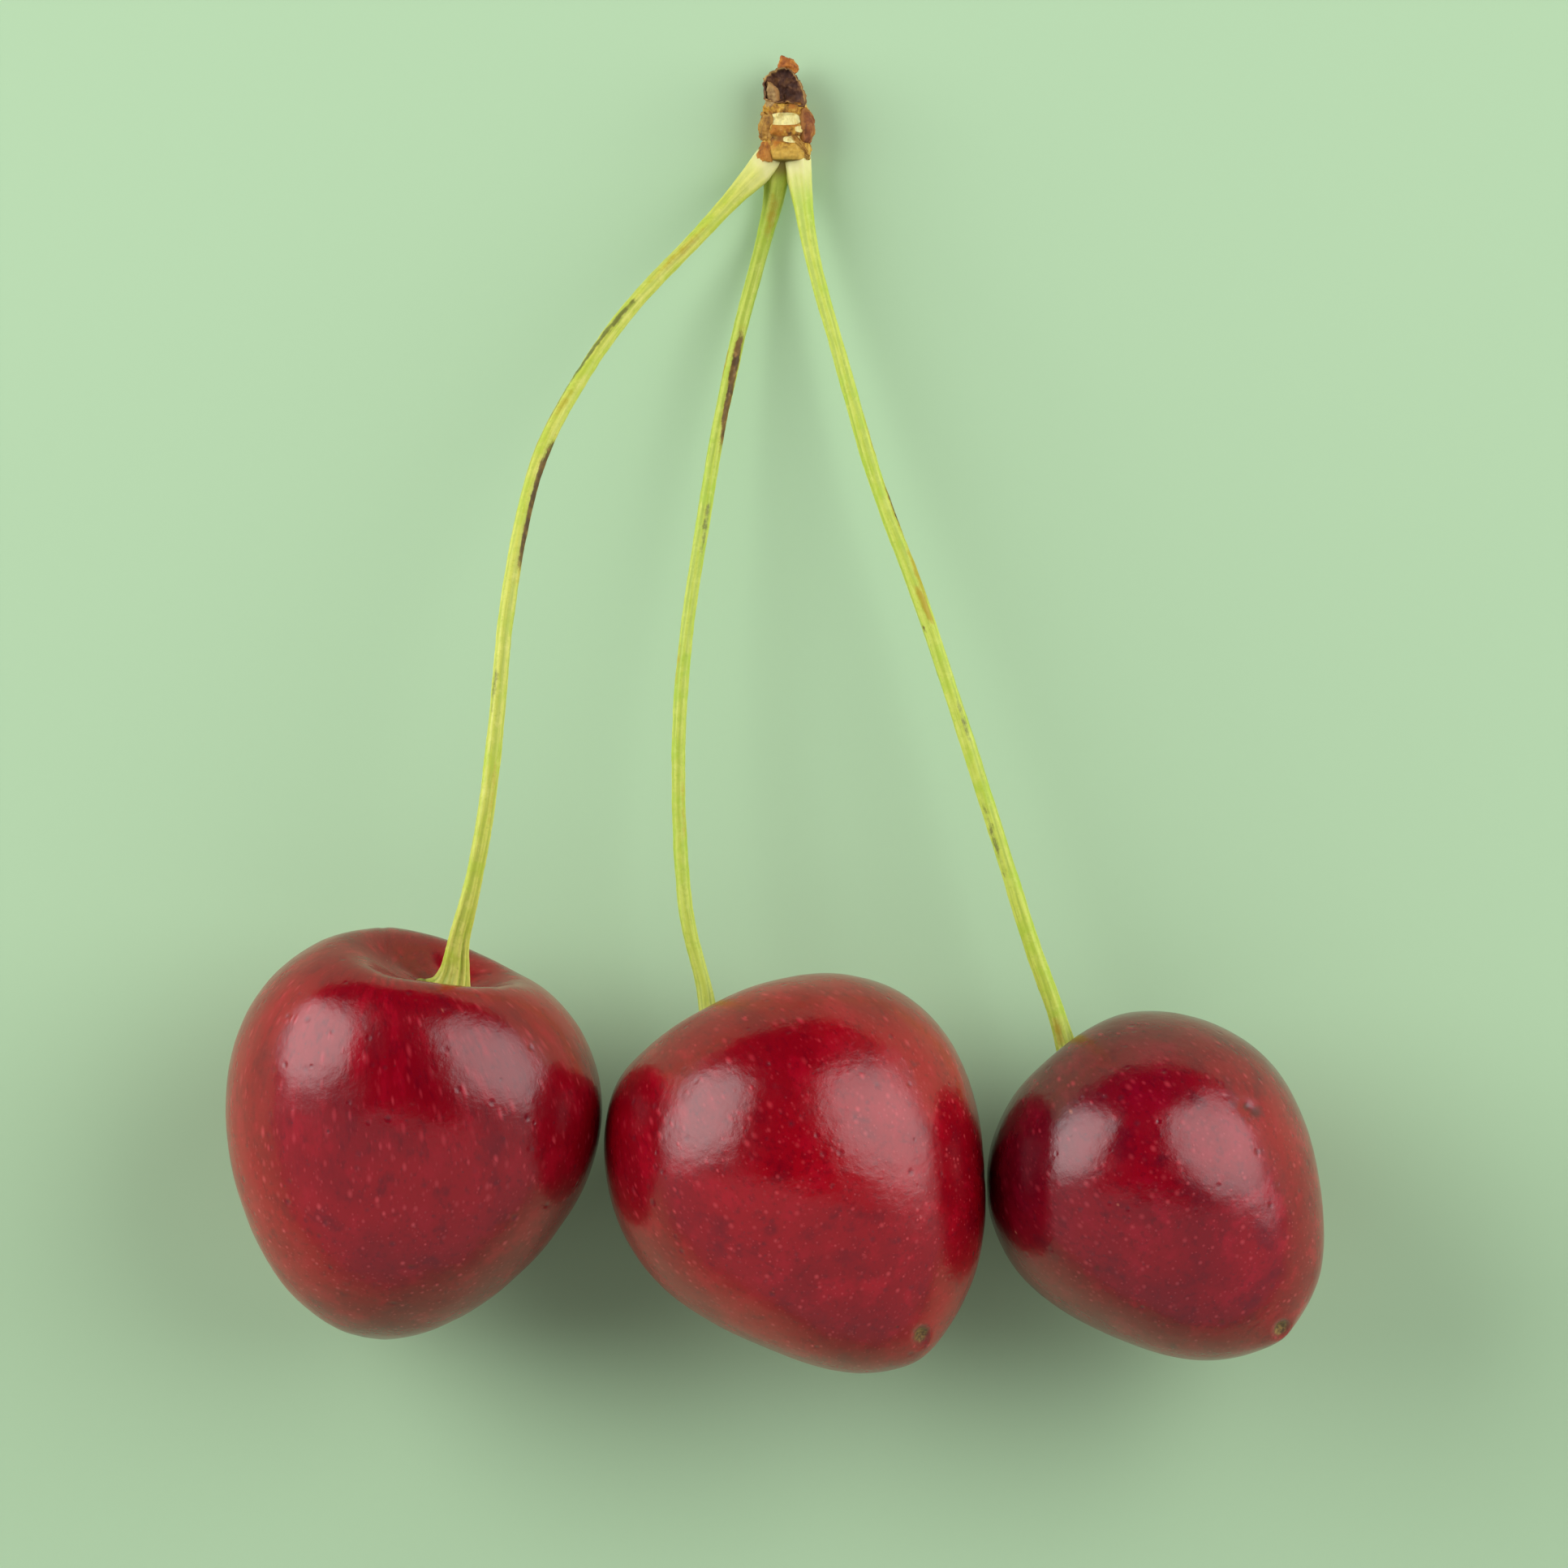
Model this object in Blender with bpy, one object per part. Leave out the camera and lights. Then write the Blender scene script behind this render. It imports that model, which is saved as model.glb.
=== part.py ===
"""Cherries on stalks: a bunch of three sweet cherries laid down on a table.

Each cherry is one solid that rests on z = 0.  Its stalk starts in the hollow
at the top of the fruit, arches over the table and ends under one short woody
spur, which carries the dry scales of the bud that the bunch grew from.

Lengths below are millimetres unless a name ends in _M.  The row frame is
+X right, +Y from the fruit to the spur, +Z up, origin under the middle of the
object's box.
"""
import math

import bmesh
import bpy
import numpy as np
from mathutils import Vector

MM = 0.001

# ------------------------------------------------------------ dimensions ---
# layout origin -> row origin (middle of the object's box, on the table)
DATUM = (-0.60, 4.76)

CHERRY_SEGMENTS = 36          # round the fruit
CHERRY_RINGS = 30             # from the stalk hollow to the tip
HOLLOW_DEPTH = 0.315          # stalk hollow, as a share of the fruit's radius
HOLLOW_WIDTH = 0.32
TIP_DEPTH = 0.03              # the small pit left by the flower's style
TIP_WIDTH = 0.16

# centre: where the fruit lies on the table; radius: its mean radius.
# lean: degrees the stalk end turns to -X; tilt: degrees it rises off level.
# girth: how full the fruit is from tip to shoulder (powers 1-4 of cos theta)
# height: half length, in radii, and its unevenness (powers 1-3)
# oval: how much wider than deep; bend: sideways drift of the middle of the
# fruit along its length (even, odd and high-order parts); sway: front to back
# shoulder: one side of the shoulder standing higher than the other
# hollow: where the stalk hollow sits on the shoulder, in radii
CHERRIES = {
    "cherry_left": dict(
        centre=(-23.66, -20.70), radius=10.94, lean=-0.4, tilt=20.0,
        girth=(0.030, -0.035, 0.012, 0.005), height=(1.182, -0.077, 0.014),
        oval=0.060, bend=(-0.169, 0.050, 0.084), sway=-0.056, shoulder=0.089,
        hollow=(0.34, 0.07)),
    "cherry_middle": dict(
        centre=(0.90, -23.80), radius=11.52, lean=36.2, tilt=-17.0,
        girth=(0.140, -0.076, 0.000, 0.107), height=(1.042, -0.071, 0.070),
        oval=0.003, bend=(-0.091, -0.083, -0.187), sway=0.034, shoulder=-0.049,
        hollow=(0.10, 0.00)),
    "cherry_right": dict(
        centre=(23.44, -24.83), radius=10.28, lean=38.3, tilt=-16.4,
        girth=(0.151, -0.075, -0.111, 0.059), height=(1.052, -0.018, 0.071),
        oval=-0.033, bend=(0.017, 0.038, 0.056), sway=0.025, shoulder=0.014,
        hollow=(-0.02, 0.00)),
}

STALK_SIDES = 10
STALK_STEPS = 30
FOOT_GAP = 0.32               # under the foot, to the floor of the hollow
FOOT_REACH = 1.5              # where the stalk has turned half way to its route

# free points on each stalk's centre line, from the fruit to the spur
STALKS = {
    "stalk_left": dict(
        fruit="cherry_left",
        route=((-20.0, -9.7, 14.4), (-19.2, -6.7, 15.7), (-18.3, -2.2, 16.6),
               (-17.6, 3.8, 16.2), (-17.1, 9.8, 14.8), (-16.2, 15.8, 12.4),
               (-15.0, 20.4, 10.2), (-12.7, 25.0, 7.9), (-9.6, 29.6, 5.4),
               (-5.3, 34.3, 3.3), (-2.6, 37.3, 2.3), (-1.45, 39.0, 2.15)),
        foot=1.42, mid=0.50, top=0.62),
    "stalk_middle": dict(
        fruit="cherry_middle",
        route=((-4.9, -12.8, 8.3), (-6.0, -8.3, 8.1), (-6.5, -2.2, 7.7),
               (-6.5, 3.8, 7.2), (-6.0, 9.9, 6.4), (-5.1, 16.0, 5.4),
               (-4.1, 22.1, 4.1), (-2.8, 28.2, 2.7), (-1.2, 34.4, 1.2),
               (-0.7, 36.8, 0.75), (-0.35, 39.0, 0.68)),
        foot=1.20, mid=0.46, top=0.56),
    "stalk_right": dict(
        fruit="cherry_right",
        route=((16.9, -14.3, 7.8), (15.3, -9.8, 7.6), (13.4, -3.7, 7.3),
               (11.0, 3.8, 6.8), (8.5, 11.4, 5.9), (5.7, 19.0, 4.9),
               (3.5, 26.7, 3.8), (1.8, 32.8, 2.8), (1.25, 36.4, 2.25),
               (1.05, 39.0, 2.1)),
        foot=1.15, mid=0.48, top=0.60),
}

# the spur: a stub of wood ringed by leaf and bud scars, lying along +Y
SPUR_START = 39.35            # Y of its cut face, beside the stalks
SPUR_X = 0.1
SPUR_SEGMENTS = 24
SPUR_HEEL = 0.26              # the underside bulges where it left the twig
# (distance from the cut face, radius)
SPUR_PROFILE = (
    (0.00, 1.02), (0.12, 1.16), (0.55, 1.17), (0.75, 1.02), (1.15, 1.00),
    (1.30, 1.15), (1.62, 1.16), (1.78, 1.04), (2.45, 1.00), (2.62, 1.13),
    (3.05, 1.12), (3.20, 0.88), (3.90, 0.78), (4.60, 0.66), (5.20, 0.52),
    (5.60, 0.36))

# dry bud scales: angle round the spur (0 = up, + = towards +X), half width in
# degrees, start and end along the spur, distance from its axis, how far the
# free end flares out
SCALE_THICK = 0.26
SCALES = {
    "bud_scale_lower_left": dict(angle=-62, half=26, span=(0.05, 0.95), radius=1.48, flare=0.10),
    "bud_scale_lower_right": dict(angle=46, half=13, span=(-0.10, 1.05), radius=1.48, flare=0.06),
    "bud_scale_left": dict(angle=-68, half=27, span=(1.28, 2.62), radius=1.46, flare=0.10),
    "bud_scale_right": dict(angle=62, half=25, span=(1.30, 2.75), radius=1.48, flare=0.16),
    "bud_scale_hollow": dict(angle=14, half=52, span=(3.45, 5.20), radius=1.10, flare=-0.08),
    "bud_scale_upper_left": dict(angle=-74, half=27, span=(3.50, 4.75), radius=1.16, flare=0.22),
    "bud_scale_tip": dict(angle=0, half=58, span=(5.30, 6.12), radius=0.56, flare=-0.20),
}

COLOURS = {   # base colour (linear), roughness
    "cherry_left": ((0.30, 0.008, 0.016), 0.22),
    "cherry_middle": ((0.30, 0.008, 0.016), 0.22),
    "cherry_right": ((0.20, 0.006, 0.014), 0.22),
    "stalk_left": ((0.48, 0.58, 0.10), 0.55),
    "stalk_middle": ((0.48, 0.58, 0.10), 0.55),
    "stalk_right": ((0.48, 0.60, 0.10), 0.55),
    "spur_stump": ((0.34, 0.21, 0.07), 0.80),
    "bud_scale_tip": ((0.45, 0.16, 0.04), 0.75),
    "bud_scale_hollow": ((0.16, 0.06, 0.03), 0.80),
    "bud_scale_upper_left": ((0.42, 0.25, 0.10), 0.80),
    "bud_scale_left": ((0.32, 0.15, 0.05), 0.80),
    "bud_scale_right": ((0.30, 0.10, 0.04), 0.80),
    "bud_scale_lower_left": ((0.40, 0.17, 0.05), 0.80),
    "bud_scale_lower_right": ((0.36, 0.15, 0.05), 0.80),
}


# --------------------------------------------------------------- helpers ---
def clear_scene():
    for ob in list(bpy.data.objects):
        bpy.data.objects.remove(ob, do_unlink=True)


def material(name):
    colour, rough = COLOURS[name]
    mat = bpy.data.materials.new(name)
    mat.use_nodes = True
    bsdf = mat.node_tree.nodes["Principled BSDF"]
    bsdf.inputs["Base Color"].default_value = (*colour, 1.0)
    bsdf.inputs["Roughness"].default_value = rough
    bsdf.inputs["Metallic"].default_value = 0.0
    return mat


def add_object(name, bm):
    bm.normal_update()
    bmesh.ops.recalc_face_normals(bm, faces=bm.faces[:])
    mesh = bpy.data.meshes.new(name)
    bm.to_mesh(mesh)
    bm.free()
    mesh.shade_smooth()
    ob = bpy.data.objects.new(name, mesh)
    ob.data.materials.append(material(name))
    bpy.context.scene.collection.objects.link(ob)
    return ob


def to_row(p):
    """Layout millimetres -> row-frame metres."""
    return Vector(((p[0] - DATUM[0]) * MM, (p[1] - DATUM[1]) * MM, p[2] * MM))


# -------------------------------------------------------------- cherries ---
def cherry_point(c, theta, phi):
    """A point on the fruit in radii: +z to the stalk, theta from the stalk."""
    ct, st = math.cos(theta), math.sin(theta)
    g1, g2, g3, g4 = c["girth"]
    ring = st * (1 + g1 * ct + g2 * ct ** 2 + g3 * ct ** 3 + g4 * ct ** 4)
    h1, h2, h3 = c["height"]
    z = h1 * ct + h2 * ct ** 2 + h3 * ct ** 3
    z += c["shoulder"] * math.cos(phi) * st * st * 0.5 * (1 + ct)
    r = ring * (1 + c["oval"] * math.cos(2 * phi) * st)
    b2, b3, b4 = c["bend"]
    dx = b2 * (ct ** 2 - 0.4) + b3 * (ct ** 3 - 0.6 * ct) + b4 * (ct ** 4 - 0.85 * ct ** 2)
    dy = c["sway"] * (ct ** 2 - 0.4)
    x, y = r * math.cos(phi), r * math.sin(phi)
    if ct > 0:
        hx, hy = c["hollow"]
        d = math.hypot(x - hx, y - hy)
        z -= HOLLOW_DEPTH * math.exp(-(d / HOLLOW_WIDTH) ** 2)
    else:
        z -= TIP_DEPTH * math.exp(-(ring / TIP_WIDTH) ** 2)
    return np.array((x + dx, y + dy, z))


def cherry_axes(c):
    """Columns: the fruit's own x, y and stalk axis, in the layout."""
    a, t = math.radians(c["lean"]), math.radians(c["tilt"])
    w = np.array((-math.sin(a) * math.cos(t), math.cos(a) * math.cos(t), math.sin(t)))
    x = np.array((math.cos(a), math.sin(a), 0.0))
    y = np.cross(w, x)
    return np.stack((x, y, w), axis=1)


def crown_point(c, x, y):
    """The point of the shoulder that lies at (x, y) before the fruit bends."""
    phi, want = math.atan2(y, x), math.hypot(x, y)
    g1, g2, g3, g4 = c["girth"]
    low, high = 0.0, math.radians(60)
    for _ in range(40):
        theta = 0.5 * (low + high)
        ct, st = math.cos(theta), math.sin(theta)
        ring = st * (1 + g1 * ct + g2 * ct ** 2 + g3 * ct ** 3 + g4 * ct ** 4)
        if ring * (1 + c["oval"] * math.cos(2 * phi) * st) < want:
            low = theta
        else:
            high = theta
    return cherry_point(c, theta, phi)


def place(c, p, lift):
    q = cherry_axes(c) @ (np.asarray(p) * c["radius"])
    return q + np.array((c["centre"][0], c["centre"][1], lift))


def hollow_frame(c, lift):
    """The floor of the stalk hollow and the way out of it."""
    hx, hy = c["hollow"]
    floor = place(c, crown_point(c, hx, hy), lift)
    ring = [place(c, crown_point(c, hx + 0.14 * math.cos(k * math.pi / 4),
                                 hy + 0.14 * math.sin(k * math.pi / 4)), lift)
            for k in range(8)]
    out = sum(np.cross(ring[k] - floor, ring[(k + 1) % 8] - floor) for k in range(8))
    return floor, out / np.linalg.norm(out)


def make_cherry(name):
    """A sphere reshaped point by point, then set down on the table.

    Returns how high its middle stands above the table."""
    c = CHERRIES[name]
    bm = bmesh.new()
    bmesh.ops.create_uvsphere(bm, u_segments=CHERRY_SEGMENTS,
                              v_segments=CHERRY_RINGS, radius=1.0)
    points = []
    for v in bm.verts:
        theta = math.acos(max(-1.0, min(1.0, v.co.z)))
        phi = math.atan2(v.co.y, v.co.x)
        points.append(place(c, cherry_point(c, theta, phi), 0.0))
    lift = -min(p[2] for p in points)
    for v, p in zip(bm.verts, points):
        v.co = to_row((p[0], p[1], p[2] + lift))
    add_object(name, bm)
    return lift


# ---------------------------------------------------------------- stalks ---
def smooth_curve(points, steps):
    """Centripetal Catmull-Rom through the points, evenly spaced along it."""
    pts = [np.array(p, float) for p in points]
    pts = [2 * pts[0] - pts[1]] + pts + [2 * pts[-1] - pts[-2]]
    dense = []
    for i in range(1, len(pts) - 2):
        p0, p1, p2, p3 = pts[i - 1:i + 3]
        t0 = 0.0
        t1 = t0 + math.sqrt(np.linalg.norm(p1 - p0))
        t2 = t1 + math.sqrt(np.linalg.norm(p2 - p1))
        t3 = t2 + math.sqrt(np.linalg.norm(p3 - p2))
        for k in range(24):
            t = t1 + (t2 - t1) * k / 24
            a1 = (t1 - t) / (t1 - t0) * p0 + (t - t0) / (t1 - t0) * p1
            a2 = (t2 - t) / (t2 - t1) * p1 + (t - t1) / (t2 - t1) * p2
            a3 = (t3 - t) / (t3 - t2) * p2 + (t - t2) / (t3 - t2) * p3
            b1 = (t2 - t) / (t2 - t0) * a1 + (t - t0) / (t2 - t0) * a2
            b2 = (t3 - t) / (t3 - t1) * a2 + (t - t1) / (t3 - t1) * a3
            dense.append((t2 - t) / (t2 - t1) * b1 + (t - t1) / (t2 - t1) * b2)
    dense.append(pts[-2])
    dense = np.array(dense)
    run = np.concatenate(([0.0], np.cumsum(np.linalg.norm(np.diff(dense, axis=0), axis=1))))
    return dense, run


def stalk_stations(length):
    """Distances along the stalk: close together at the foot, then even."""
    near = [0.0, 0.18, 0.42, 0.70, 1.15, 1.80, 2.80, 4.20]
    far = [4.20 + (length - 4.20) * k / STALK_STEPS for k in range(1, STALK_STEPS + 1)]
    return near + far


def stalk_radius(s, length, foot, mid, top):
    """A small disc at the fruit, a slim stem, a thicker base at the spur."""
    button = 0.30 + 0.70 * min(1.0, s / 0.70)
    disc = (foot - mid) * math.exp(-(max(0.0, s - 0.70) / 0.80) ** 1.2)
    neck = 0.36 * math.exp(-(s / 3.6) ** 1.3)
    base = (top - mid) * math.exp(-((length - s) / 2.4) ** 2)
    return (mid + disc + neck * 0.5 + base) * button


def make_stalk(name, lifts):
    """Rings of points lofted along the centre line and closed at both ends."""
    s = STALKS[name]
    c = CHERRIES[s["fruit"]]
    floor, axis = hollow_frame(c, lifts[s["fruit"]])
    start = floor + axis * FOOT_GAP
    towards = np.array(s["route"][0]) - floor
    turned = axis + towards / np.linalg.norm(towards)
    route = [start, floor + turned / np.linalg.norm(turned) * FOOT_REACH] + list(s["route"])
    dense, run = smooth_curve(route, STALK_STEPS)
    length = run[-1]
    stations = stalk_stations(length)
    centre = np.stack([np.interp(stations, run, dense[:, k]) for k in range(3)], axis=1)
    tangent = np.gradient(centre, axis=0)
    tangent[0] = axis
    tangent /= np.linalg.norm(tangent, axis=1)[:, None]
    side = np.cross(tangent[0], (0.0, 0.0, 1.0))
    bm = bmesh.new()
    rings = []
    for i, t in enumerate(tangent):
        side = side - t * np.dot(side, t)
        side /= np.linalg.norm(side)
        up = np.cross(side, t)
        r = stalk_radius(stations[i], length, s["foot"], s["mid"], s["top"])
        ring = []
        for k in range(STALK_SIDES):
            a = 2 * math.pi * k / STALK_SIDES
            ring.append(bm.verts.new(to_row(centre[i] + r * (math.cos(a) * side + math.sin(a) * up))))
        rings.append(ring)
    for a, b in zip(rings, rings[1:]):
        for k in range(STALK_SIDES):
            j = (k + 1) % STALK_SIDES
            bm.faces.new((a[k], a[j], b[j], b[k]))
    bm.faces.new(rings[0][::-1])
    bm.faces.new(rings[-1])
    add_object(name, bm)


# ------------------------------------------------------------------ spur ---
def heel(angle):
    """1 all round, more on the underside (angle pi)."""
    return 1.0 + SPUR_HEEL * ((1 - math.cos(angle)) / 2) ** 3


def spur_axis_height():
    return max(r for _, r in SPUR_PROFILE) * (1 + SPUR_HEEL)


def make_stump():
    """The ringed profile turned round the spur's axis, with its heel."""
    z0 = spur_axis_height()
    bm = bmesh.new()
    rings = []
    for d, r in SPUR_PROFILE:
        ring = []
        for k in range(SPUR_SEGMENTS):
            a = 2 * math.pi * k / SPUR_SEGMENTS
            q = r * heel(a)
            ring.append(bm.verts.new(to_row((SPUR_X + q * math.sin(a), SPUR_START + d,
                                             z0 + q * math.cos(a)))))
        rings.append(ring)
    for a, b in zip(rings, rings[1:]):
        for k in range(SPUR_SEGMENTS):
            j = (k + 1) % SPUR_SEGMENTS
            bm.faces.new((a[k], a[j], b[j], b[k]))
    bm.faces.new(rings[0])
    bm.faces.new(rings[-1][::-1])
    add_object("spur_stump", bm)


def make_scale(name, across=8, along=6):
    """A thin curled shell that follows the spur and narrows to its free end."""
    s = SCALES[name]
    z0 = spur_axis_height()
    bm = bmesh.new()
    grid = []
    for i in range(along + 1):
        t = i / along
        width = s["half"] * math.sqrt(max(0.0, 1 - (t * 0.93) ** 2.4))
        width = max(width, 0.3 * s["half"])
        d = s["span"][0] + (s["span"][1] - s["span"][0]) * t
        r = s["radius"] + s["flare"] * t * t
        row = []
        for k in range(across + 1):
            a = math.radians(s["angle"] + width * (2 * k / across - 1))
            row.append(bm.verts.new(to_row((SPUR_X + r * math.sin(a), SPUR_START + d,
                                            z0 + r * math.cos(a)))))
        grid.append(row)
    for a, b in zip(grid, grid[1:]):
        for k in range(across):
            bm.faces.new((a[k], a[k + 1], b[k + 1], b[k]))
    ob = add_object(name, bm)
    # the sheet lies on the inner side; the shell grows outward from it
    centre = Vector(to_row((SPUR_X, SPUR_START, z0)))
    poly = ob.data.polygons[0]
    out = Vector((poly.center.x - centre.x, 0.0, poly.center.z - centre.z))
    if poly.normal.dot(out) < 0:
        ob.data.flip_normals()
    shell = ob.modifiers.new("thickness", "SOLIDIFY")
    shell.thickness = SCALE_THICK * MM
    shell.offset = 1.0
    shell.use_even_offset = False
    return ob


# ----------------------------------------------------------------- build ---
clear_scene()
lifts = {name: make_cherry(name) for name in CHERRIES}
for stalk in STALKS:
    make_stalk(stalk, lifts)
make_stump()
for scale in SCALES:
    make_scale(scale)
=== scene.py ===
import math

import bpy
import numpy as np
from mathutils import Matrix, Vector


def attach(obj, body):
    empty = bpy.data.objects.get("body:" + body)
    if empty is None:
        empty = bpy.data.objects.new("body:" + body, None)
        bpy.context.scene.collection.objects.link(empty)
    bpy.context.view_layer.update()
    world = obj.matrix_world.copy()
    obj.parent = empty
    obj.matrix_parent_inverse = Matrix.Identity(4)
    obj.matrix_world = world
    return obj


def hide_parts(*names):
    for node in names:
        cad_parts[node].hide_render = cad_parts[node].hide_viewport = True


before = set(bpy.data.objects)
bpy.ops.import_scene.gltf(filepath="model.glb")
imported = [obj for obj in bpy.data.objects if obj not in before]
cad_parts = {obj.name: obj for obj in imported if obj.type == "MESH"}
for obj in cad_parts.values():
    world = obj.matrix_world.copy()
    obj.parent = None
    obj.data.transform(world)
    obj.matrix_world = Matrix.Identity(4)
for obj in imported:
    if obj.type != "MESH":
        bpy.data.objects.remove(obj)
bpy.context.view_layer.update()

MM = 0.001

# ---------------------------------------------------------------- layout ---
# The same numbers as the CAD: layout millimetres, and the shift from the
# layout origin to the row origin.
DATUM = (-0.60, 4.76)
HOLLOW_DEPTH, HOLLOW_WIDTH = 0.315, 0.32

CHERRIES = {
    "cherry_left": dict(
        centre=(-23.585, -20.70), radius=10.955, lean=-0.4, tilt=20.0,
        girth=(0.030, -0.035, 0.012, 0.005), height=(1.182, -0.077, 0.014),
        oval=0.060, bend=(-0.169, 0.050, 0.084), sway=-0.056, shoulder=0.089,
        hollow=(0.34, 0.07), hollow_form=(0.25, 1.4, 2.5), scar=(0.0, 0.0), suture=95.0, seed=3.1, drawn=0.30),
    "cherry_middle": dict(
        centre=(0.90, -23.80), radius=11.585, lean=36.2, tilt=-17.0,
        girth=(0.140, -0.076, 0.000, 0.107), height=(1.042, -0.071, 0.070),
        oval=0.003, bend=(-0.091, -0.083, -0.187), sway=0.034, shoulder=-0.049,
        hollow=(0.10, 0.00), scar=(0.06, -0.16), suture=80.0, seed=11.7, drawn=0.50),
    "cherry_right": dict(
        centre=(23.30, -24.83), radius=10.33, lean=38.3, tilt=-16.4,
        girth=(0.151, -0.075, -0.111, 0.059), height=(1.052, -0.018, 0.071),
        oval=-0.033, bend=(0.017, 0.038, 0.056), sway=0.025, shoulder=0.014,
        hollow=(-0.02, 0.00), scar=(0.03, -0.09), suture=100.0, seed=23.9, drawn=0.55),
}

STALKS = {
    "stalk_left": dict(
        fruit="cherry_left",
        route=((-20.0, -9.7, 14.4), (-19.2, -6.7, 15.7), (-18.3, -2.2, 16.6),
               (-17.6, 3.8, 16.2), (-17.1, 9.8, 14.8), (-16.2, 15.8, 12.4),
               (-15.0, 20.4, 10.2), (-12.7, 25.0, 7.9), (-9.6, 29.6, 5.4),
               (-5.3, 34.3, 3.3), (-2.6, 37.3, 2.15), (-1.40, 38.6, 1.62),
               (-0.95, 39.25, 1.45))),
    "stalk_middle": dict(
        fruit="cherry_middle",
        route=((-4.9, -12.8, 8.3), (-6.0, -8.3, 8.1), (-6.5, -2.2, 7.7),
               (-6.5, 3.8, 7.2), (-6.0, 9.9, 6.4), (-5.1, 16.0, 5.4),
               (-4.1, 22.1, 4.1), (-2.8, 28.2, 2.7), (-1.2, 34.4, 1.2),
               (-0.62, 36.8, 1.00), (-0.46, 38.4, 1.10), (-0.3, 39.3, 1.2))),
    "stalk_right": dict(
        fruit="cherry_right",
        route=((16.9, -14.3, 7.8), (15.3, -9.8, 7.6), (13.4, -3.7, 7.3),
               (11.0, 3.8, 6.8), (8.5, 11.4, 5.9), (5.7, 19.0, 4.9),
               (3.5, 26.7, 3.8), (1.8, 32.8, 2.8), (1.18, 36.4, 2.15),
               (0.88, 38.6, 1.62), (0.80, 39.25, 1.45))),
}

SPUR_X, SPUR_Y, SPUR_Z = 0.1, 39.35, 1.4742   # the middle of the spur's cut face


def layout(px, py, pz=1.5):
    """A point of the layout given in the 1932-wide frame, at height pz mm."""
    k = 0.05 * (600.0 - (pz - 12.0)) / 600.0
    return (px - 966.0) * k, (966.0 - py) * k


def to_row(p):
    p = np.asarray(p, float)
    return (p - np.array((DATUM[0], DATUM[1], 0.0))) * MM


# ------------------------------------------------------- smooth 3D waves ---
def waves(p, scale, seed, count=7):
    """A smooth, repeatable field near -1..1 over points p (..., 3), in mm."""
    rng = np.random.default_rng(int(seed * 1000) + count)
    total = np.zeros(p.shape[:-1])
    for _ in range(count):
        d = rng.normal(size=3)
        d /= np.linalg.norm(d)
        f = 2 * math.pi / (scale * rng.uniform(0.7, 1.5))
        total = total + np.sin((p * d).sum(-1) * f + rng.uniform(0, 2 * math.pi))
    return total / math.sqrt(count)


def soft(x, a, b):
    """0 below a, 1 above b, smooth between."""
    t = np.clip((x - a) / (b - a), 0.0, 1.0)
    return t * t * (3 - 2 * t)


# ----------------------------------------------------------- mesh making ---
def grid_faces(rows, cols, closed):
    """Quads of a rows x cols grid of points, its columns joined up if closed."""
    i, j = np.meshgrid(np.arange(rows - 1), np.arange(cols if closed else cols - 1), indexing="ij")
    k = (j + 1) % cols
    return np.stack([i * cols + j, i * cols + k, (i + 1) * cols + k, (i + 1) * cols + j], -1).reshape(-1, 4)


def mesh_object(name, verts, faces, smooth=True):
    me = bpy.data.meshes.new(name)
    me.from_pydata(np.asarray(verts, float).tolist(), [], [list(map(int, f)) for f in faces])
    me.update()
    if smooth:
        me.shade_smooth()
    ob = bpy.data.objects.new(name, me)
    bpy.context.scene.collection.objects.link(ob)
    return ob


def face_out(ob):
    """Turns the faces outward if the closed mesh has them inward."""
    me = ob.data
    me.calc_loop_triangles()
    co = np.array([v.co[:] for v in me.vertices])
    tri = np.array([t.vertices[:] for t in me.loop_triangles])
    a, b, c = co[tri[:, 0]], co[tri[:, 1]], co[tri[:, 2]]
    if np.einsum("ij,ij->i", a, np.cross(b, c)).sum() < 0:
        me.flip_normals()


def add_float(ob, name, values):
    at = ob.data.attributes.new(name, "FLOAT", "POINT")
    at.data.foreach_set("value", np.asarray(values, np.float32).ravel())


def add_vector(ob, name, values):
    at = ob.data.attributes.new(name, "FLOAT_VECTOR", "POINT")
    at.data.foreach_set("vector", np.asarray(values, np.float32).ravel())


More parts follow.
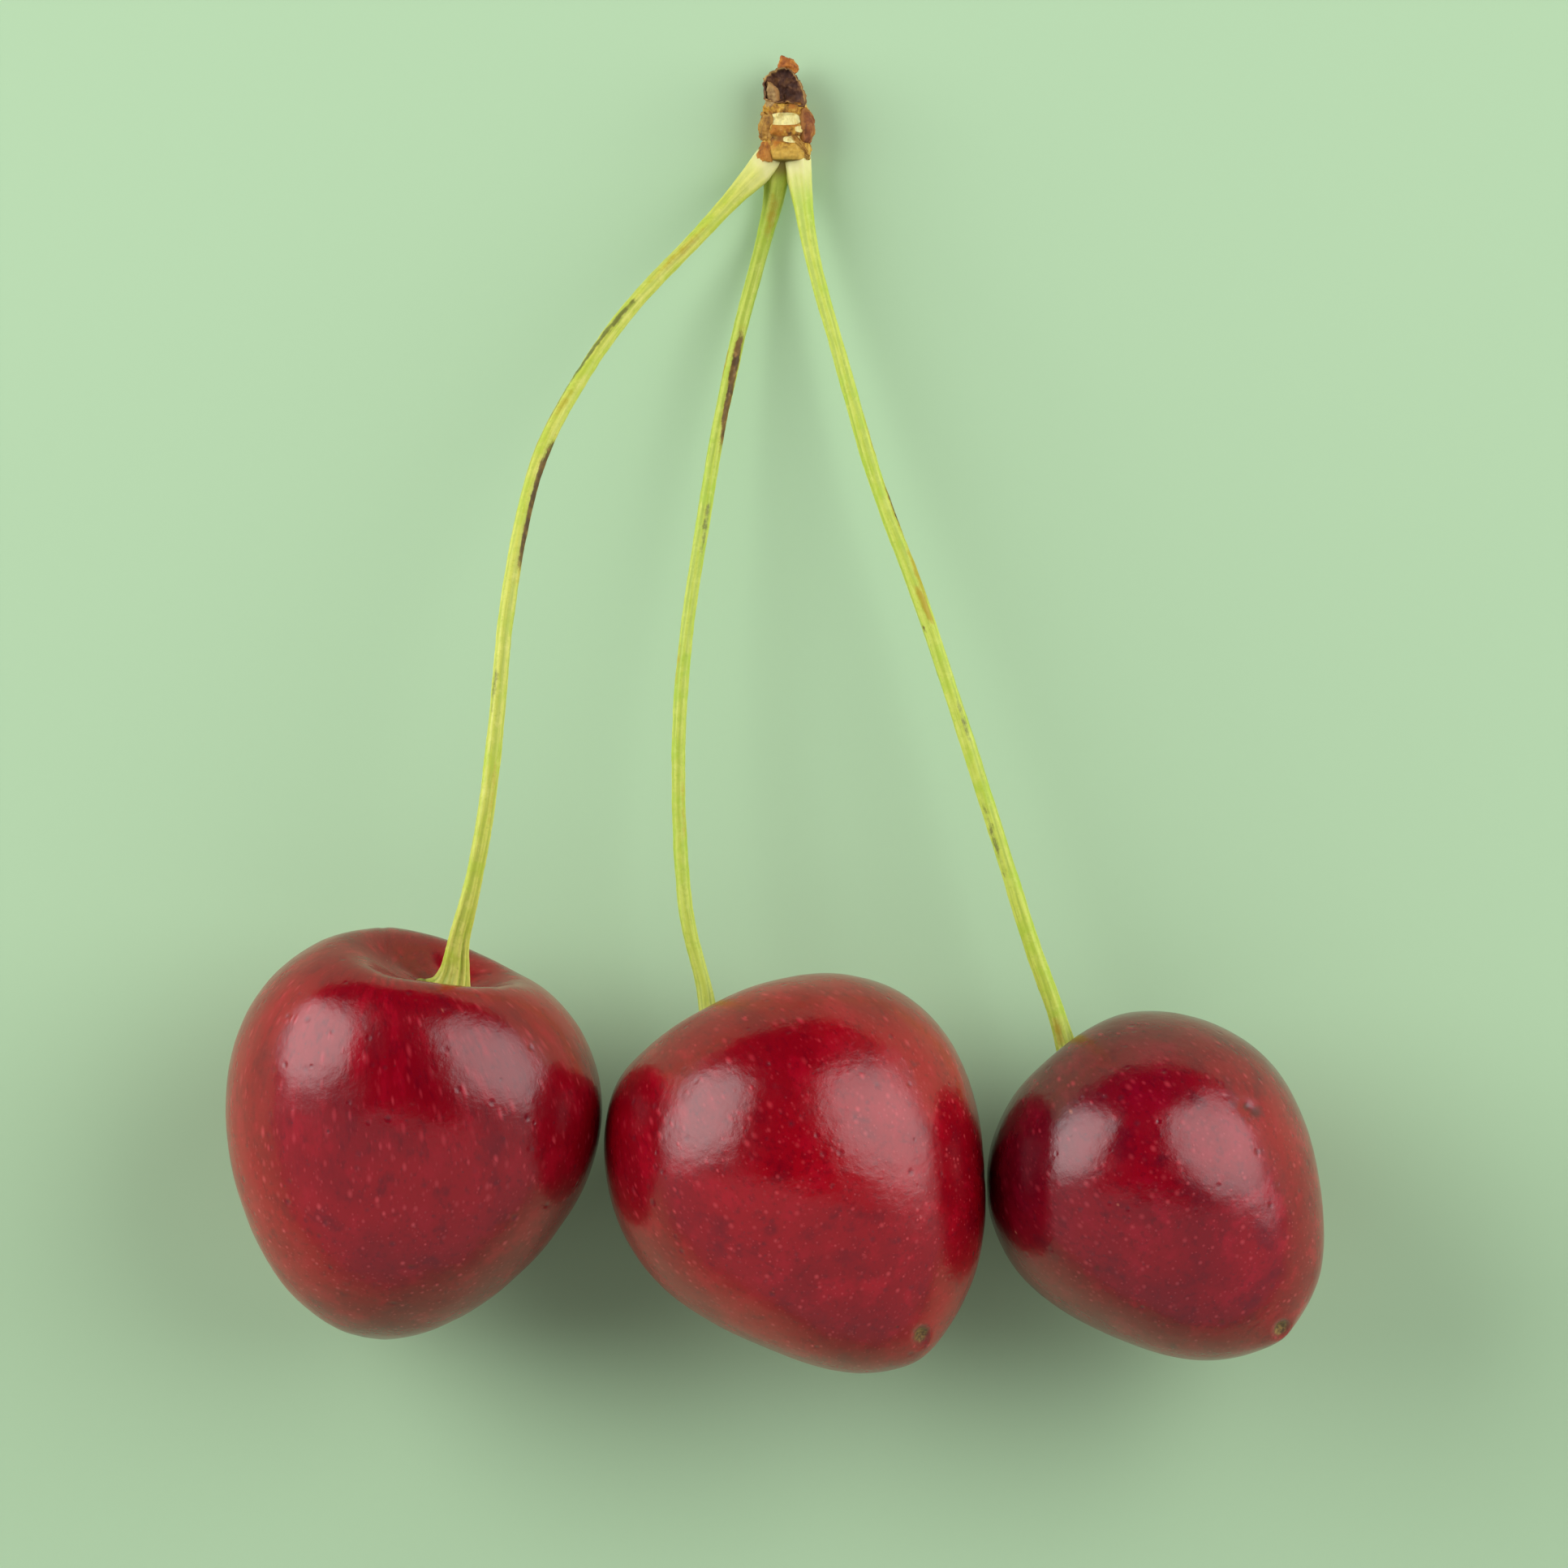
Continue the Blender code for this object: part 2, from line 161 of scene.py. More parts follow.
# --------------------------------------------------------- node building ---
class Graph:
    """A short way to write a material's nodes."""

    def __init__(self, name):
        self.mat = bpy.data.materials.new(name)
        self.mat.use_nodes = True
        self.tree = self.mat.node_tree
        self.tree.nodes.clear()
        self.out = self.new("ShaderNodeOutputMaterial")
        self.bsdf = self.new("ShaderNodeBsdfPrincipled")
        self.tree.links.new(self.bsdf.outputs[0], self.out.inputs["Surface"])

    def new(self, kind, **props):
        node = self.tree.nodes.new(kind)
        for key, value in props.items():
            setattr(node, key, value)
        return node

    def put(self, socket, value):
        if isinstance(value, bpy.types.NodeSocket):
            self.tree.links.new(value, socket)
        elif isinstance(value, (tuple, list)) and len(value) == 3 and socket.type == "RGBA":
            socket.default_value = (*value, 1.0)
        else:
            socket.default_value = value

    def coords(self, kind="Object"):
        return self.new("ShaderNodeTexCoord").outputs[kind]

    def attr(self, name, out="Fac"):
        return self.new("ShaderNodeAttribute", attribute_name=name).outputs[out]

    def math(self, op, a, b=0.0, c=0.0, clamp=False):
        n = self.new("ShaderNodeMath", operation=op, use_clamp=clamp)
        self.put(n.inputs[0], a)
        self.put(n.inputs[1], b)
        if op in ("MULTIPLY_ADD", "SMOOTH_MIN", "COMPARE"):
            self.put(n.inputs[2], c)
        return n.outputs[0]

    def vmath(self, op, a, b=None, scale=None):
        n = self.new("ShaderNodeVectorMath", operation=op)
        self.put(n.inputs[0], a)
        if b is not None:
            self.put(n.inputs[1], b)
        if scale is not None:
            self.put(n.inputs["Scale"], scale)
        return n.outputs["Value"] if op in ("LENGTH", "DOT_PRODUCT", "DISTANCE") else n.outputs[0]

    def split(self, v):
        n = self.new("ShaderNodeSeparateXYZ")
        self.put(n.inputs[0], v)
        return n.outputs[0], n.outputs[1], n.outputs[2]

    def join(self, x, y, z):
        n = self.new("ShaderNodeCombineXYZ")
        for i, v in enumerate((x, y, z)):
            self.put(n.inputs[i], v)
        return n.outputs[0]

    def noise(self, v, scale, detail=2.0, rough=0.5, distort=0.0, out="Fac"):
        n = self.new("ShaderNodeTexNoise")
        self.put(n.inputs["Vector"], v)
        n.inputs["Scale"].default_value = scale
        n.inputs["Detail"].default_value = detail
        n.inputs["Roughness"].default_value = rough
        n.inputs["Distortion"].default_value = distort
        return n.outputs[out]

    def cells(self, v, scale, randomness=1.0, feature="F1"):
        n = self.new("ShaderNodeTexVoronoi", feature=feature)
        self.put(n.inputs["Vector"], v)
        n.inputs["Scale"].default_value = scale
        n.inputs["Randomness"].default_value = randomness
        return n.outputs["Distance"], n.outputs["Color"]

    def fit(self, v, a, b, c=0.0, d=1.0, smooth=True):
        n = self.new("ShaderNodeMapRange", interpolation_type="SMOOTHSTEP" if smooth else "LINEAR")
        self.put(n.inputs["Value"], v)
        self.put(n.inputs["From Min"], a)
        self.put(n.inputs["From Max"], b)
        self.put(n.inputs["To Min"], c)
        self.put(n.inputs["To Max"], d)
        return n.outputs[0]

    def mix(self, fac, a, b, blend="MIX"):
        n = self.new("ShaderNodeMix", data_type="RGBA", blend_type=blend)
        self.put(n.inputs[0], fac)
        self.put(n.inputs[6], a)
        self.put(n.inputs[7], b)
        return n.outputs[2]

    def ramp(self, fac, stops):
        n = self.new("ShaderNodeValToRGB")
        self.put(n.inputs[0], fac)
        el = n.color_ramp.elements
        while len(el) > 1:
            el.remove(el[-1])
        el[0].position, el[0].color = stops[0][0], (*stops[0][1], 1.0)
        for pos, col in stops[1:]:
            e = el.new(pos)
            e.color = (*col, 1.0)
        return n.outputs[0]

    def bump(self, height, distance, strength=1.0):
        n = self.new("ShaderNodeBump")
        n.inputs["Strength"].default_value = strength
        n.inputs["Distance"].default_value = distance
        self.put(n.inputs["Height"], height)
        return n.outputs[0]


# -------------------------------------------------------------- cherries ---
def cherry_axes(c):
    a, t = math.radians(c["lean"]), math.radians(c["tilt"])
    w = np.array((-math.sin(a) * math.cos(t), math.cos(a) * math.cos(t), math.sin(t)))
    x = np.array((math.cos(a), math.sin(a), 0.0))
    return np.stack((x, np.cross(w, x), w), axis=1)


def cherry_points(c, th, ph, fine=True):
    """The fruit's surface in its own axes, in mm: +z to the stalk."""
    ct, st = np.cos(th), np.sin(th)
    g1, g2, g3, g4 = c["girth"]
    ring = st * (1 + g1 * ct + g2 * ct ** 2 + g3 * ct ** 3 + g4 * ct ** 4)
    h1, h2, h3 = c["height"]
    z = h1 * ct + h2 * ct ** 2 + h3 * ct ** 3 + 0 * ph
    z = z + c["shoulder"] * np.cos(ph) * st * st * 0.5 * (1 + ct)
    r = ring * (1 + c["oval"] * np.cos(2 * ph) * st)
    b2, b3, b4 = c["bend"]
    dx = b2 * (ct ** 2 - 0.4) + b3 * (ct ** 3 - 0.6 * ct) + b4 * (ct ** 4 - 0.85 * ct ** 2)
    dy = c["sway"] * (ct ** 2 - 0.4)
    x, y = r * np.cos(ph), r * np.sin(ph)
    top = ct > 0
    hx, hy = c["hollow"]
    d = np.hypot(x - hx, y - hy)
    turn, left_reach, steep = c.get("hollow_form", (0.0, 1.0, 2.0))
    if fine:
        across = (x - hx) / np.where(x < hx, left_reach, 1.0)
        d2 = np.hypot(across, y - hy - turn * np.clip(x - hx, -0.35, 0.35))
    else:
        d2, steep = d, 2.0
    z = z - np.where(top, HOLLOW_DEPTH * np.exp(-(d2 / HOLLOW_WIDTH) ** steep), 0.0)
    sx, sy = c["scar"]
    ds = np.hypot(1.25 * (x - sx), 0.85 * (y - sy)) if fine else np.hypot(x - sx, y - sy)
    z = z - np.where(~top, 0.03 * np.exp(-(ring / 0.16) ** 2), 0.0)
    p = np.stack((x + dx, y + dy, z), -1) * c["radius"]
    scar = np.where(~top, ds * c["radius"], 9.0)          # mm from the flower scar
    rim = np.where(top, d * c["radius"], 99.0)            # mm from the stalk
    if not fine:
        return p, scar, rim
    # outward direction, near enough for small reliefs
    out = p / np.linalg.norm(p, axis=-1, keepdims=True)
    relief = 0.050 * waves(p, 13.0, c["seed"]) + 0.018 * waves(p, 4.5, c["seed"] + 1, 9)
    relief = relief + 0.0040 * waves(p, 1.8, c["seed"] + 2, 14)
    # a faint suture line down one side, lost at both ends
    a = np.angle(np.exp(1j * (ph - math.radians(c["suture"]) - 0.05 * np.sin(2 * th))))
    relief = relief - 0.16 * np.exp(-(a / 0.055) ** 2) * np.sin(th) ** 1.5 * (0.6 + 0.4 * np.cos(th))
    relief = relief + 0.07 * np.exp(-(a / 0.19) ** 2) * np.sin(th) ** 1.5
    # soft folds running down into the stalk hollow
    ang = np.arctan2(y - hy, x - hx)
    folds = np.exp(-((rim - 2.2) / 1.5) ** 2)
    relief = relief + folds * (0.035 * np.sin(7 * ang + c["seed"]) + 0.025 * np.sin(12 * ang + 2 * c["seed"]))
    # the crater the flower left, with a slightly raised lip
    relief = relief - 0.34 * np.exp(-(scar / 0.62) ** 2.6) + 0.03 * np.exp(-((scar - 1.0) / 0.35) ** 2)
    return p + out * relief[..., None], scar, rim


def crown_point(c, x, y):
    phi, want = math.atan2(y, x), math.hypot(x, y)
    g1, g2, g3, g4 = c["girth"]
    low, high = 0.0, math.radians(60)
    for _ in range(40):
        theta = 0.5 * (low + high)
        ct, st = math.cos(theta), math.sin(theta)
        ring = st * (1 + g1 * ct + g2 * ct ** 2 + g3 * ct ** 3 + g4 * ct ** 4)
        if ring * (1 + c["oval"] * math.cos(2 * phi) * st) < want:
            low = theta
        else:
            high = theta
    p, _, _ = cherry_points(c, np.array(theta), np.array(phi), fine=False)
    return p


def place(c, p):
    return cherry_axes(c) @ np.asarray(p) + np.array((c["centre"][0], c["centre"][1], c["lift"]))


def hollow_frame(c):
    hx, hy = c["hollow"]
    floor = place(c, crown_point(c, hx, hy))
    ring = [place(c, crown_point(c, hx + 0.14 * math.cos(k * math.pi / 4),
                                 hy + 0.14 * math.sin(k * math.pi / 4))) for k in range(8)]
    out = sum(np.cross(ring[k] - floor, ring[(k + 1) % 8] - floor) for k in range(8))
    return floor, out / np.linalg.norm(out)


# small marks on the fruits: where they show from above (x, y in the layout),
# size in mm, depth in mm
DENTS = {
    "cherry_left": (),
    "cherry_middle": ((12.3, -24.0, 0.40, 0.04), (12.6, -22.4, 0.35, 0.03)),
    "cherry_right": ((28.25, -19.6, 0.34, 0.16), (28.8, -20.0, 0.55, 0.08)),
}


def pore_space(c, th, ph, p):
    """Where the pores are sown: drawn out along the fruit near the stalk,
    true to scale near the tip."""
    ring = np.hypot(p[..., 0] - p[..., 0].mean(1, keepdims=True),
                    p[..., 1] - p[..., 1].mean(1, keepdims=True)).mean(1)
    step = np.hypot(np.diff(ring), np.diff(p[..., 2].mean(1)))
    t = th[:, 0]
    k = c["drawn"] + (0.92 - c["drawn"]) * soft(t, 1.0, 2.20)
    run = np.concatenate(([0.0], np.cumsum(step * 0.5 * (k[1:] + k[:-1]))))
    power = 0.40 + 0.60 * soft(t, 1.2, 2.2)
    wide = c["radius"] * (ring / c["radius"]) ** power
    return np.stack((wide[:, None] * np.cos(ph), wide[:, None] * np.sin(ph), run[:, None] + 0 * ph), -1)


def make_cherry(name, rings=190, segments=250):
    c = CHERRIES[name]
    th = np.linspace(0, math.pi, rings + 1)[1:-1, None]
    ph = np.linspace(0, 2 * math.pi, segments, endpoint=False)[None, :]
    p, scar, rim = cherry_points(c, th, ph)
    sown = pore_space(c, th, ph, p)
    sown = np.concatenate((sown.reshape(-1, 3), sown[:1].mean(1), sown[-1:].mean(1)))
    ends = [cherry_points(c, np.array([[t]]), np.array([[0.0]])) for t in (0.0, math.pi)]
    flat = np.concatenate((p.reshape(-1, 3), ends[0][0].reshape(1, 3), ends[1][0].reshape(1, 3)))
    scar = np.concatenate((scar.ravel(), ends[0][1].ravel(), ends[1][1].ravel()))
    rim = np.concatenate((rim.ravel(), ends[0][2].ravel(), ends[1][2].ravel()))
    axes = cherry_axes(c)
    world = flat @ axes.T
    mark = np.zeros(len(flat))
    for x, y, size, depth in DENTS[name]:
        d = np.hypot(world[:, 0] + c["centre"][0] - x, world[:, 1] + c["centre"][1] - y)
        press = np.where(world[:, 2] > 0, np.exp(-(d / size) ** 2), 0.0)
        flat = flat - flat / np.linalg.norm(flat, axis=1)[:, None] * (press * depth)[:, None]
        mark = np.maximum(mark, press)
    world = flat @ axes.T
    c["lift"] = float(-world[:, 2].min())
    n = (rings - 1) * segments
    faces = grid_faces(rings - 1, segments, True).tolist()
    for j in range(segments):
        k = (j + 1) % segments
        faces.append((n, k, j))
        faces.append((n + 1, n - segments + j, n - segments + k))
    ob = mesh_object(name + "_fruit", to_row(world + np.array((c["centre"][0], c["centre"][1], c["lift"]))), faces)
    face_out(ob)
    add_vector(ob, "sown", sown)
    add_float(ob, "down", np.concatenate(((th + 0 * ph).ravel(), (0.0, math.pi))) / math.pi)
    add_float(ob, "scar", np.exp(-(scar / 0.62) ** 2))
    add_float(ob, "rim", rim)
    add_float(ob, "mark", mark)
    return ob


def skin_material(name, c, bright, deep, top, spots=1.0):
    """Glossy cherry skin: softly mottled red, pale pores drawn out along the
    fruit near the stalk and small and close near the tip, a few dark ones."""
    g = Graph(name)
    p = g.vmath("SCALE", g.coords(), scale=1000.0)
    q = g.vmath("ADD", g.attr("sown", "Vector"), (c["seed"], c["seed"] * 2, 0.0))
    down = g.attr("down")

    # body colour: broad clouds, finer drawn-out mottling, freckles
    big = g.noise(p, 0.11, 2.0, 0.5)
    cloud = g.noise(g.vmath("MULTIPLY", q, (1.0, 1.0, 1.1)), 0.50, 4.0, 0.6)
    fine = g.noise(q, 2.3, 3.0, 0.6)
    body = g.mix(g.fit(big, 0.38, 0.64), deep, bright)
    body = g.mix(g.fit(cloud, 0.50, 0.68, 0.0, 0.75), body, tuple(v * f for v, f in zip(bright, (1.16, 2.4, 1.7))))
    body = g.mix(g.fit(cloud, 0.47, 0.30, 0.0, 0.75), body, tuple(v * f for v, f in zip(deep, (0.72, 1.0, 1.1))))
    body = g.mix(g.fit(fine, 0.52, 0.70, 0.0, 0.42), body, tuple(v * f for v, f in zip(deep, (0.50, 1.0, 1.0))))

    # riper, so darker, towards the stalk
    body = g.mix(g.fit(g.math("ADD", down, g.math("MULTIPLY", g.math("SUBTRACT", big, 0.5), 0.25)),
                       0.68, 0.34, 0.0, 1.0), body, g.mix(1.0, body, top, "MULTIPLY"))

    def pores(at, scale, small, large, share, soft_edge=0.12, shrink=None):
        d, r = g.cells(at, scale)
        a, b, k = g.split(r)
        size = g.fit(a, 0.0, 1.0, small * scale, large * scale, smooth=False)
        if shrink is not None:
            size = g.math("MULTIPLY", size, shrink)
        dot = g.fit(g.math("DIVIDE", d, size), soft_edge, 1.15, 1.0, 0.0)
        return g.math("MULTIPLY", dot, g.fit(b, 1.0 - share, 1.02 - share)), k

    # pale pores in two sizes, smaller and rounder towards the tip
    shrink = g.fit(down, 0.40, 0.80, 1.0, 0.88)
    large, tone = pores(q, 1.60, 0.110, 0.240, 0.90, 0.0, shrink)
    small, tone2 = pores(g.vmath("ADD", q, (7.3, 1.9, 4.4)), 3.0, 0.060, 0.125, 0.90, 0.0, shrink)
    large = g.math("MULTIPLY", large, g.fit(down, 0.10, 0.24, 0.15, 1.0))
    small = g.math("MULTIPLY", small, g.fit(down, 0.20, 0.60, 0.45, 1.0))
    large = g.math("MULTIPLY", large, g.fit(tone, 0.0, 1.0, 0.25, 1.0, smooth=False))
    small = g.math("MULTIPLY", small, g.fit(tone2, 0.0, 1.0, 0.15, 0.65, smooth=False))
    dots = g.math("MULTIPLY", g.math("MAXIMUM", large, small), spots, clamp=True)
    pale = g.mix(g.fit(down, 0.35, 0.62), tuple(v * f + e for v, f, e in zip(bright, (1.20, 5.0, 3.0), (0.13, 0.024, 0.024))),
                 tuple(v * f + e for v, f, e in zip(bright, (1.20, 5.0, 3.0), (0.25, 0.058, 0.054))))
    colour = g.mix(g.math("MULTIPLY", dots, 0.78), body, pale)
    bright_one, _ = pores(g.vmath("ADD", q, (1.1, 5.7, 2.4)), 0.50, 0.10, 0.17, 0.22, 0.0)
    colour = g.mix(g.math("MULTIPLY", bright_one, 0.60), colour, (0.60, 0.20, 0.13))

    # dark pores, most of them tiny
    dark, tone3 = pores(g.vmath("ADD", p, (2.0, 9.0, 5.0)), 0.95, 0.16, 0.32, 0.62, 0.0)
    dark = g.math("MULTIPLY", dark, g.fit(tone3, 0.0, 1.0, 0.35, 0.90))
    colour = g.mix(g.math("MULTIPLY", dark, 0.58), colour, (0.060, 0.008, 0.018))
    tiny, _ = pores(g.vmath("ADD", p, (4.0, 1.0, 8.0)), 1.70, 0.06, 0.11, 0.60, 0.15)
    colour = g.mix(g.math("MULTIPLY", tiny, 0.50), colour, (0.070, 0.010, 0.018))

    # dry brown at the flower scar, a green-brown stain under the stalk
    scar = g.attr("scar")
    rough_edge = g.math("ADD", scar, g.math("MULTIPLY", g.math("SUBTRACT", g.noise(p, 2.2, 3.0), 0.5), 0.75))
    crust = g.mix(g.fit(g.noise(p, 4.5, 3.0, 0.65), 0.40, 0.62), (0.085, 0.035, 0.012), (0.27, 0.150, 0.040))
    colour = g.mix(g.fit(rough_edge, 0.12, 0.30, 0.0, 0.6), colour, (0.140, 0.020, 0.014))
    colour = g.mix(g.fit(rough_edge, 0.30, 0.62), colour, crust)
    rim = g.attr("rim")
    stain = g.fit(g.math("ADD", rim, g.math("MULTIPLY", g.noise(p, 0.9, 2.0), 0.9)), 1.45, 2.35, 1.0, 0.0)
    colour = g.mix(g.math("MULTIPLY", stain, 0.75), colour, (0.26, 0.11, 0.025))
    mark = g.attr("mark")
    colour = g.mix(g.fit(mark, 0.35, 0.95, 0.0, 0.75), colour, (0.055, 0.008, 0.012))

    g.put(g.bsdf.inputs["Base Color"], colour)
    bloom = g.noise(p, 0.35, 3.0, 0.6)
    rough = g.fit(bloom, 0.25, 0.75, 0.165, 0.235)
    rough = g.math("ADD", rough, g.math("MULTIPLY", dots, 0.06))
    rough = g.math("ADD", rough, g.math("MULTIPLY", scar, 0.45), clamp=True)
    g.put(g.bsdf.inputs["Roughness"], rough)
    g.bsdf.inputs["IOR"].default_value = 1.52
    g.bsdf.inputs["Subsurface Weight"].default_value = 0.08
    g.bsdf.inputs["Subsurface Radius"].default_value = (1.0, 0.12, 0.06)
    g.bsdf.inputs["Subsurface Scale"].default_value = 0.0010
    skin = g.noise(p, 1.5, 4.0, 0.6)
    height = g.math("ADD", g.math("MULTIPLY", skin, 0.75), g.math("MULTIPLY", dots, 0.25))
    height = g.math("ADD", height, g.math("MULTIPLY", g.noise(p, 0.50, 2.0), 1.2))
    height = g.math("SUBTRACT", height, g.math("MULTIPLY", dark, 0.8))
    g.put(g.bsdf.inputs["Normal"], g.bump(height, 0.000045, 0.75))
    return g.mat


# ---------------------------------------------------------------- stalks ---
def smooth_curve(points):
    pts = [np.array(p, float) for p in points]
    pts = [2 * pts[0] - pts[1]] + pts + [2 * pts[-1] - pts[-2]]
    dense = []
    for i in range(1, len(pts) - 2):
        p0, p1, p2, p3 = pts[i - 1:i + 3]
        t0 = 0.0
        t1 = t0 + math.sqrt(np.linalg.norm(p1 - p0))
        t2 = t1 + math.sqrt(np.linalg.norm(p2 - p1))
        t3 = t2 + math.sqrt(np.linalg.norm(p3 - p2))
        for k in range(24):
            t = t1 + (t2 - t1) * k / 24
            a1 = (t1 - t) / (t1 - t0) * p0 + (t - t0) / (t1 - t0) * p1
            a2 = (t2 - t) / (t2 - t1) * p1 + (t - t1) / (t2 - t1) * p2
            a3 = (t3 - t) / (t3 - t2) * p2 + (t - t2) / (t3 - t2) * p3
            b1 = (t2 - t) / (t2 - t0) * a1 + (t - t0) / (t2 - t0) * a2
            b2 = (t3 - t) / (t3 - t1) * a2 + (t - t1) / (t3 - t1) * a3
            dense.append((t2 - t) / (t2 - t1) * b1 + (t - t1) / (t2 - t1) * b2)
    dense.append(pts[-2])
    dense = np.array(dense)
    run = np.concatenate(([0.0], np.cumsum(np.linalg.norm(np.diff(dense, axis=0), axis=1))))
    # a light smoothing keeps the line free of kinks
    even = np.linspace(0, run[-1], 400)
    line = np.stack([np.interp(even, run, dense[:, k]) for k in range(3)], 1)
    w = np.exp(-np.linspace(-2, 2, 21) ** 2)
    w /= w.sum()
    pad = np.concatenate((2 * line[0] - line[10:0:-1], line, 2 * line[-1] - line[-2:-12:-1]))
    line = np.stack([np.convolve(pad[:, k], w, mode="valid") for k in range(3)], 1)
    run = np.concatenate(([0.0], np.cumsum(np.linalg.norm(np.diff(line, axis=0), axis=1))))
    return line, run


# half widths along each stalk: slim part, at the spur, in the neck by the
# fruit, in the foot disc; how deep the ridges are at the foot and half way
STEM_FORM = {
    "stalk_left": dict(mid=0.490, top=0.05, flare=0.36, neck=0.27, foot=0.66, ridge=(0.15, 0.040), lump=0.25),
    "stalk_middle": dict(mid=0.440, top=0.07, flare=0.36, neck=0.20, foot=0.45, ridge=(0.12, 0.035), lump=1.1),
    "stalk_right": dict(mid=0.470, top=0.05, flare=0.38, neck=0.16, foot=0.45, ridge=(0.11, 0.040), lump=2.3),
}

# discoloured stretches, each tapering to both ends: from Y to Y (layout mm),
# bearing round the stalk at either end (degrees from the side that faces up,
# + towards +X), half width in degrees, strength, kind (0 brown, 1 ochre, 2 olive)
STEM_MARKS = {
    "stalk_left": (
        (24.6, 29.2, -68, -30, 32, 1.00, 2), (28.2, 30.4, -34, -14, 30, 1.00, 2),
        (26.0, 30.2, -62, -12, 44, 0.62, 2), (22.5, 27.0, -80, -66, 30, 0.55, 2),
        (12.8, 21.6, 68, 58, 54, 1.15, 0), (14.2, 20.6, 64, 50, 48, 1.05, 0),
        (11.8, 22.4, 70, 54, 66, 0.80, 1), (17.5, 25.0, -88, -80, 40, 0.65, 1),
        (31.0, 35.2, -20, 0, 44, 0.62, 1), (22.4, 24.6, -30, -10, 40, 0.60, 1),
        (4.0, 8.0, -40, -30, 34, 0.50, 2), (-3.0, 2.0, 40, 30, 30, 0.50, 1),
    ),
    "stalk_middle": (
        (20.6, 28.6, 58, 14, 44, 1.10, 0), (21.2, 27.0, 56, 30, 42, 1.00, 0),
        (20.2, 29.0, 60, 14, 56, 0.85, 1), (25.0, 27.4, -84, -80, 34, 0.80, 1),
        (34.0, 37.2, 20, 0, 40, 0.80, 1), (6.0, 9.0, -60, -50, 30, 0.55, 1),
        (14.0, 18.0, 30, 20, 30, 0.55, 2), (-4.0, 1.0, 50, 40, 30, 0.55, 1),
    ),
    "stalk_right": (
        (15.4, 18.8, 80, 80, 26, 0.62, 0), (14.8, 19.4, 74, 74, 44, 0.70, 1),
        (11.2, 15.0, 52, 70, 44, 0.92, 1),
        (9.8, 12.4, 34, 10, 38, 1.20, 1), (10.1, 12.0, 24, 10, 22, 1.00, 1),
        (9.45, 9.95, -52, -52, 22, 0.72, 0), (2.4, 5.6, 20, 30, 34, 0.60, 2),
        (-16.4, -14.4, -30, -20, 40, 0.80, 1), (19.5, 24.0, 70, 78, 34, 0.60, 1),
        (-6.0, -1.0, -40, -30, 34, 0.55, 2),
    ),
}


